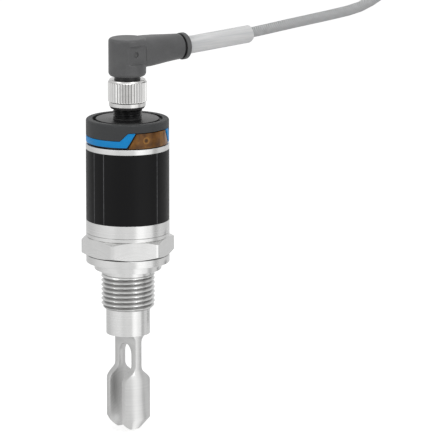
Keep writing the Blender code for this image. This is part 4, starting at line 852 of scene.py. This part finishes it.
# %% Connector body
STUB_R, STUB_LOW, STUB_TOP, STUB_PITCH = 5.8, 59.9, 70.5, 1.0
blank = closely([(5.5, STUB_LOW), (5.5, 60.2), (STUB_R, 60.5), (STUB_R, 70.3), (5.6, STUB_TOP)], 0.09)
blank += [(4.3, STUB_TOP), (4.3, STUB_LOW)]
stub = grooved(lathe("stub", blank, around=144, closed=True), BLACK,
               Around=-1, Along=1 / STUB_PITCH, Depth=0.6, Low=STUB_LOW + 0.4, High=STUB_TOP + 0.1, Ease=0.4,
               Crest=0.1, Floor=0.9, Inside=4.6, Outer=STUB_R)
base = lathe("base", [
    (0, 62.0), (4.5, 62.0), (4.5, 60.0), (5.6, 59.9), (5.6, CAP_TOP), (12.35, CAP_TOP), (12.35, 58.05),
    (13.4, 58.05), (13.4, 56.45), (6.0, 56.45), (6.0, 53.6), (0, 53.6)], around=144, edge=0.3)
done(assembled("connector_moulding", stub, base), BLACK, "switch", "black_plastic", "connector_body")

# %% Coupling nut
NUT_LOW, NUT_HIGH, RIB_LOW, RIB_HIGH, NUT_R, NUT_GROOVE_R = 63.7, 75.05, 66.6, 74.1, 7.6, 7.15
outside = rounded_path([
    (5.98, NUT_LOW), (6.5, NUT_LOW), (NUT_GROOVE_R, 64.7), (NUT_GROOVE_R, RIB_LOW - 0.35), (NUT_R, RIB_LOW),
    (NUT_R, RIB_HIGH), (NUT_GROOVE_R, RIB_HIGH + 0.4), (7.05, NUT_HIGH), (5.2, NUT_HIGH)], 0.15)
outside = closely(outside, 0.14) + [(5.2, 73.55), (5.98, 73.55)]
nut = grooved(lathe("knurled_nut", outside, around=320, closed=True), NICKEL,
              Around=40, Along=0, Depth=NUT_R - NUT_GROOVE_R, Low=RIB_LOW - 0.1, High=RIB_HIGH + 0.15,
              Ease=0.25, Crest=0.25, Floor=0.85, Inside=6.4, Outer=NUT_R)
for face in nut.data.polygons:
    face.material_index = int(RIB_LOW - 0.1 < face.center.z / MM < RIB_HIGH + 0.1)
done(nut, (NICKEL, GRIP_NICKEL), "nut", "nickel", "coupling_nut", angle=50)

# %% [markdown]
# ## Elbow of the plug
# The elbow is soft grey plastic, moulded over the contacts and their black core: a drum, an arm
# that tapers towards the cord, and an end ring. A moulded body has no sharp edge anywhere and its forms
# run into each other. The forms are joined with Booleans, remeshed at a fifth of a millimetre
# and smoothed a little, which rounds every edge and inner corner alike, as the mould's cutter
# did. Bevels on the Boolean's own edges would break where the drum meets the arm.

# %% Elbow
ARM_AXIS_Z, DRUM_R, DRUM_TOP, DRUM_LOW, NECK_LOW = 85.3, 7.35, 91.3, 77.5, 71.9


def arm_section(x, top, bottom, half_width, power, count=64):
    """A cross-section between a circle and a square: the higher the power, the squarer."""
    row = []
    for i in range(count):
        c, s = math.cos(math.tau * i / count), math.sin(math.tau * i / count)
        row.append((x, math.copysign(abs(c) ** (2 / power), c) * half_width,
                    (top + bottom) / 2 + math.copysign(abs(s) ** (2 / power), s) * (top - bottom) / 2))
    return row


up_to_arm = Matrix.Translation((0, 0, ARM_AXIS_Z * MM))
along_x = up_to_arm @ Matrix.Rotation(math.pi / 2, 4, "Y")
across_y = up_to_arm @ Matrix.Rotation(math.pi / 2, 4, "X")
elbow = lathe("moulded_elbow", [
    (0, DRUM_TOP), *quarter(DRUM_R, DRUM_TOP, 1.2, 15), (DRUM_R, DRUM_LOW), (6.81, 76.6), (5.05, 76.6),
    (5.05, 73.2), (5.6, 73.2), (5.6, NECK_LOW), (0, NECK_LOW)], around=96)
carve(elbow, "UNION",
      skin("arm", [arm_section(*row) for row in (
          (3, 91.15, 79.4, 7.0, 3.2), (9, 91.15, 79.4, 6.7, 3.0), (13, 91.05, 79.7, 6.3, 2.8),
          (17, 90.8, 80.0, 5.8, 2.5), (20.5, 90.6, 80.2, 5.3, 2.3), (24.4, 90.4, 80.4, 4.9, 2.1))]),
      lathe("end_ring", [(0, 22.4), (4.2, 22.4), (4.2, 25.3), (5.3, 25.3), (5.3, 27.1), (4.9, 27.5),
                         (0, 27.5)], around=72, place=along_x))
for side in (1, -1):
    ys = sorted((6.3 * side, 9.5 * side))
    carve(elbow, "DIFFERENCE", prism([(-9.5, 81.5), (4.6, 81.5), (4.6, 88.7), (-9.5, 88.7)], *ys, "XZ"))
    heights = sorted((5.5 * side, 9.5 * side), reverse=True)
    carve(elbow, "DIFFERENCE", lathe("dimple", [(0, heights[0]), (1.05, heights[0]), (1.05, heights[1]),
                                                (0, heights[1])], around=32, place=across_y))
carve(elbow, "DIFFERENCE",
      lathe("cord_bore", [(0, 29.5), (2.3, 29.5), (2.3, -2.6), (0, -2.6)], around=48, place=along_x),
      lathe("socket", [(0, 84.6), (2.1, 84.6), (2.1, 75.0), (4.2, 75.0), (4.2, 69.9), (0, 69.9)], around=48))
remesh = elbow.modifiers.new("one_skin", "REMESH")
remesh.mode, remesh.voxel_size = "VOXEL", 0.2 * MM
smooth = elbow.modifiers.new("moulded", "SMOOTH")
smooth.factor, smooth.iterations = 0.5, 4
plain(elbow)
outward(elbow.data)
for face in elbow.data.polygons:
    core_or_painted_groove_shade = face.center.z < 76.45 * MM or 24.5 * MM < face.center.x < 25.3 * MM
    face.material_index = int(core_or_painted_groove_shade)  # the black core shows at the neck; the end groove is painted black as shade
done(elbow, (ELBOW_GREY, BLACK), "plug", "elbow_plastic", "elbow_body", angle=60)

# %% [markdown]
# ## Marker sleeve
# A short tube of clear film is slid over the cord for a tag, and its far end is snipped at a slant. It is a
# real tube with a wall. In the white studio such a film reads as milky streaks of light, so the finish is
# mostly a painted white sheen, streaked along the tube, with a little light passing through.

# %% Drawn tube: painted white sheen, streaked along its run
drawn = Group("drawn_tube", Color=["Painted sheen", "Streak"], Float=["Low", "High"])
stretched = add(drawn.tree, "Mapping", [("Vector", drawn.place()), ("Scale", (35.0, 1500.0, 1500.0)),
                                        ("Rotation", (0, math.radians(2.8), 0))]).outputs[0]
streaks = drawn.noise(Vector=stretched, Scale=1.0, Detail=3.0)
share = streaks.span(0.38, 0.6)
drawn.give(share.blend(drawn["Streak"], drawn["Painted sheen"]),
           share.span(0.0, 1.0, drawn["High"], drawn["Low"]), streaks, 0.15, 0.00003)
SLEEVE_PAINTED_SHEEN = finish("sleeve_painted_sheen", drawn, {
    "Painted sheen": (0.99, 0.99, 0.99), "Streak": (0.8, 0.81, 0.82), "Low": 0.2, "High": 0.36},
    Transmission_Weight=0.06, IOR=1.3)

# %% Marker sleeve
SLEEVE_R, SLEEVE_BORE_R, SLEEVE_LONG, SLEEVE_X, SLEEVE_TURN = 3.5, 2.75, 30.7, 27.8, 87.2
SNIP_X, SNIP_LEAN, SNIP_HALF = 58.5, 22.0, 14.0
along_sleeve = (Matrix.Translation((SLEEVE_X * MM, 0, ARM_AXIS_Z * MM))
                @ Matrix.Rotation(math.radians(SLEEVE_TURN), 4, "Y"))
sleeve = lathe("clear_sleeve", [
    (SLEEVE_R, SLEEVE_LONG), (SLEEVE_R, 0), (SLEEVE_BORE_R, 0), (SLEEVE_BORE_R, SLEEVE_LONG),
], around=72, edge=0.12, closed=True, place=along_sleeve)
lean = math.tan(math.radians(SNIP_LEAN)) * SNIP_HALF
low, high = ARM_AXIS_Z - SNIP_HALF, ARM_AXIS_Z + SNIP_HALF
carve(sleeve, "DIFFERENCE", prism([(SNIP_X + lean, high), (SNIP_X - lean, low), (SNIP_X + 8, low),
                                   (SNIP_X + 8 + lean, high)], -2 * SLEEVE_R, 2 * SLEEVE_R, "XZ"))
done(sleeve, SLEEVE_PAINTED_SHEEN, "plug", "clear_plastic", "marker_sleeve")

# %% [markdown]
# ## Tie and stripped end
# A soft rubber band holds the hank together, and the cord's far end is stripped to its four
# wires with bare copper tips, ready for the terminals. The band's cross-section is crowned, as a
# pressed strip is, and follows the waist of the hank.

# %% Tie
waist = outer_track + CORD_D / 2 - PINCH + 0.3
hank_high = hank_low + HANK_LAYERS * CORD_D
loop = rounded_path([(-waist, FLOOR_Z + 0.6), (waist, FLOOR_Z + 0.6), (waist, hank_high + 0.3),
                     (-waist, hank_high + 0.3)], 1.0, steps=8, closed=True)
loop = closely([*loop, loop[0]], 1.2)[:-1]
band = []
for i, here in enumerate(loop):
    way = (loop[(i + 1) % len(loop)] - loop[i - 1]).normalized()
    out = Vector((way.y, -way.x))
    row = []
    for across, lift in ((-1.15, 0.0), (-1.25, 0.18), (-1.1, 0.42), (-0.6, 0.57), (0.0, 0.6), (0.6, 0.57),
                         (1.1, 0.42), (1.25, 0.18), (1.15, 0.0)):
        spot = here + out * lift
        row.append((hank_x + across, spot.x, max(spot.y, FLOOR_Z)))
    band.append(row)
tie = skin("rubber_tie", band, closed=True)
done(tie, RUBBER, "plug", "seal_rubber", "hank_tie", angle=50)

# %% Stripped end: four wires with copper tips
CORE_D, COPPER_D, BARE, CORE_OFF = 1.3, 0.8, 4.5, 0.85


def meshed(tube):
    """The tube's mesh, on an object of its own."""
    mesh = bpy.data.meshes.new_from_object(tube.evaluated_get(bpy.context.evaluated_depsgraph_get()))
    bpy.data.objects.remove(tube)
    return bpy.data.objects.new("tube", mesh)


for (colour, look), (across, up) in zip(CORE_LOOKS.items(), ((1, 1), (-1, 1), (-1, -1), (1, -1))):
    route = smooth_line([
        (x, TAIL_Y + across * CORE_OFF * fan, tail_z + up * CORE_OFF * min(fan, 1.2))
        for x, fan in ((TAIL_END_X - 3, 1.0), (TAIL_END_X, 1.0), (TAIL_END_X + 6.4, 1.52), (CORE_END_X, 2.3))
    ], 0.8)
    bare_from = next(i for i, p in enumerate(route) if p.x > CORE_END_X - BARE)
    wire = meshed(tube_curve("wire", route[:bare_from + 1], CORE_D, sides=4))
    tip = meshed(tube_curve("tip", route[bare_from - 1:], COPPER_D, sides=3))
    core = assembled("core_" + colour, wire, tip, finishes=(0, 1))
    outward(core.data)
    done(core, (look, COPPER), "plug", "core_" + colour, "core_wire_" + colour, angle=50)

# %% [markdown]
# ## The cord as one declared piece
# The cord is one curve with a round section. Its real length is worked out and printed, so that whoever uses
# the part later can lay it again.

# %% Cord: a jacket with a faint slanting lay
jacket = Group("jacket_lay", Color=["Light", "Dark"], Float=["Low", "High"])
place = jacket.place()
x, y, z = jacket.axes(place)
warp = jacket.noise(Vector=place, Scale=500.0, Detail=3.0)
lay = ((x - z) * 7000.0 + warp * 7.0).math("SINE")
share = (lay + warp * 2.0).span(-0.4, 2.2)
jacket.give(share.blend(jacket["Dark"], jacket["Light"]),
            share.span(0.0, 1.0, jacket["High"], jacket["Low"]), share, 0.5, 0.00004)
JACKET = finish("cord_jacket", jacket, {
    "Light": (0.7, 0.705, 0.71), "Dark": (0.38, 0.385, 0.39), "Low": 0.42, "High": 0.62},
    Specular_IOR_Level=0.3)

# %% Cord
cord = tube_curve("cord_jacket", cord_line, CORD_D, sides=6)
cord_length = sum((q - p).length for p, q in zip(cord_line, cord_line[1:]))
print("cord:", len(cord_line), "points,", round(cord_length), "mm")
done(cord, JACKET, "plug", "cord_jacket", "cable", "cable_hank", "cable_tail")

# %% [markdown]
# ## What the housing holds
# The boards, the lamps and the clamped stack that makes the fork hum are out of sight, but they
# are the engineering model's own solids and their shapes are right. They keep their meshes and
# only take better finishes, chosen by the start of their names.

# %% Inner pieces
INNER = [
    ("contact_pin", GOLD), ("socket_contact", GOLD), ("socket_insert", BLACK), ("plug_seal", RUBBER),
    ("housing_seal", RUBBER), ("signal_board", BOARD_GREEN), ("main_board", BOARD_GREEN),
    ("lamp", LAMP_WHITE), ("controller_chip", BLACK), ("inductor", FERRITE), ("capacitor", CAN),
    ("lead_terminal", INNER_GREY), ("board_carrier", INNER_GREY), ("insulator", CERAMIC),
    ("piezo_ring", CERAMIC), ("electrode", SILVER), ("clamp", STEEL), ("stack_lead", LEAD_RED),
]
dressed = 0
for name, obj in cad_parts.items():
    for start, look in INNER:
        if name.startswith(start):
            for slot in obj.material_slots:
                slot.material = look
            dressed += 1
print("inner pieces with their own finish:", dressed)

# %% [markdown]
# ## Floor, light and the world
# The picture is a cut-out on white. A floor whose colour the camera sees as white, but which
# still takes the object's shadow, gives that without pouring more light on the steel. Turned
# steel shows its surroundings more than its own colour, so reflections get a studio of soft
# upright bands, some bright and some dim. Seen from a little above, an upright tube mirrors the
# floor in front of it and not the walls, so floor and world share one group of bands.

# %% Studio bands
BANDS = [(0.0, .96), (.039, .98), (.07, .86), (.10, .87), (.144, .92), (.185, .88), (.205, .9), (.225, 1.38),
         (.27, 1.38), (.30, 1.15), (.345, 1.1), (.36, .54), (.385, .54), (.42, .85), (.47, .78), (.544, .76),
         (.65, .78), (.706, .72), (.80, .68), (.833, .70), (.90, .84), (.97, .94), (1.0, .96)]
studio = Group("studio_bands", {"Color": ["Level"]}, Vector=["Direction"])
x, y, z = studio.axes(studio["Direction"])
bands = add(studio.tree, "ValToRGB", [("Fac", y.math("ARCTAN2", x).span(-math.pi, math.pi))])
ramp = bands.color_ramp
for (spot, level), element in zip((BANDS[0], BANDS[-1]), ramp.elements):
    element.position, element.color = spot, (level, level, level, 1)
for spot, level in BANDS[1:-1]:
    ramp.elements.new(spot).color = (level, level, level, 1)
studio.tree.links.new(bands.outputs["Color"], studio.given["Level"])


def studio_look(tree, coordinates):
    """The bands' colour for a tree, and what kind of ray asks for it."""
    way = add(tree, "TexCoord").outputs[coordinates]
    level = add(tree, "Group", [("Direction", way)], node_tree=studio.tree).outputs["Level"]
    rays = add(tree, "LightPath").outputs
    return level, *[Value(tree, rays["Is %s Ray" % kind]) for kind in ("Camera", "Glossy", "Transmission")]


# %% Floor
FLOOR_REACH, FLOOR_THICK, FLOOR_LIFT = 12000.0, 5.0, 0.62
corners = [(-FLOOR_REACH, -FLOOR_REACH), (FLOOR_REACH, -FLOOR_REACH), (FLOOR_REACH, FLOOR_REACH),
           (-FLOOR_REACH, FLOOR_REACH)]
floor = skin("studio_floor", [[(x, y, z) for x, y in corners] for z in (FLOOR_Z, FLOOR_Z - FLOOR_THICK)])
paper = bpy.data.materials.new("studio_floor")
paper.use_nodes = True
tree = paper.node_tree
level, camera_ray, glossy_ray, clear_ray = studio_look(tree, "Object")
reflected = glossy_ray.math("MAXIMUM", clear_ray)
strength = (camera_ray * FLOOR_LIFT).math("MAXIMUM", reflected)
shader = tree.nodes["Principled BSDF"].inputs
shader["Roughness"].default_value, shader["Specular IOR Level"].default_value = 0.9, 0.0
tree.links.new(reflected.blend((0.8, 0.8, 0.8, 1), (0, 0, 0, 1)), shader["Base Color"])
tree.links.new(reflected.blend((1, 1, 1, 1), level), shader["Emission Color"])
tree.links.new(strength.socket, shader["Emission Strength"])
floor.data.materials.append(paper)

# %% World
WORLD_LEVEL = 0.45
world = bpy.data.worlds.new("white_studio")
scene.world = world
world.use_nodes = True
tree = world.node_tree
level, camera_ray, glossy_ray, clear_ray = studio_look(tree, "Generated")
mirrored = glossy_ray.blend((WORLD_LEVEL, WORLD_LEVEL, WORLD_LEVEL, 1), level)
shown = camera_ray.math("MAXIMUM", clear_ray).blend(mirrored, (1, 1, 1, 1))
tree.links.new(shown, tree.nodes["Background"].inputs["Color"])

# %% Lamps
scene.view_settings.view_transform = "Standard"


def soft_lamp(name, across, away, up, size, power):
    """A square soft box, placed as seen from the camera: across to the right, away behind."""
    light = bpy.data.lights.new(name, "AREA")
    light.shape, light.size, light.energy = "SQUARE", size, power
    lamp = linked(name, light)
    lamp.location = right_way * across + look_flat * away + Vector((0, 0, up))
    lamp.rotation_euler = (Vector((0, 0, 0.02)) - lamp.location).to_track_quat("-Z", "Y").to_euler()
    print("lamp:", name, power, "W")


soft_lamp("key_box", 0.9, -1.1, 1.2, 0.7, 5.0)
soft_lamp("fill_box", -1.3, -0.9, 0.7, 0.9, 3.0)
soft_lamp("top_box", 0.0, 0.1, 1.6, 0.8, 3.0)
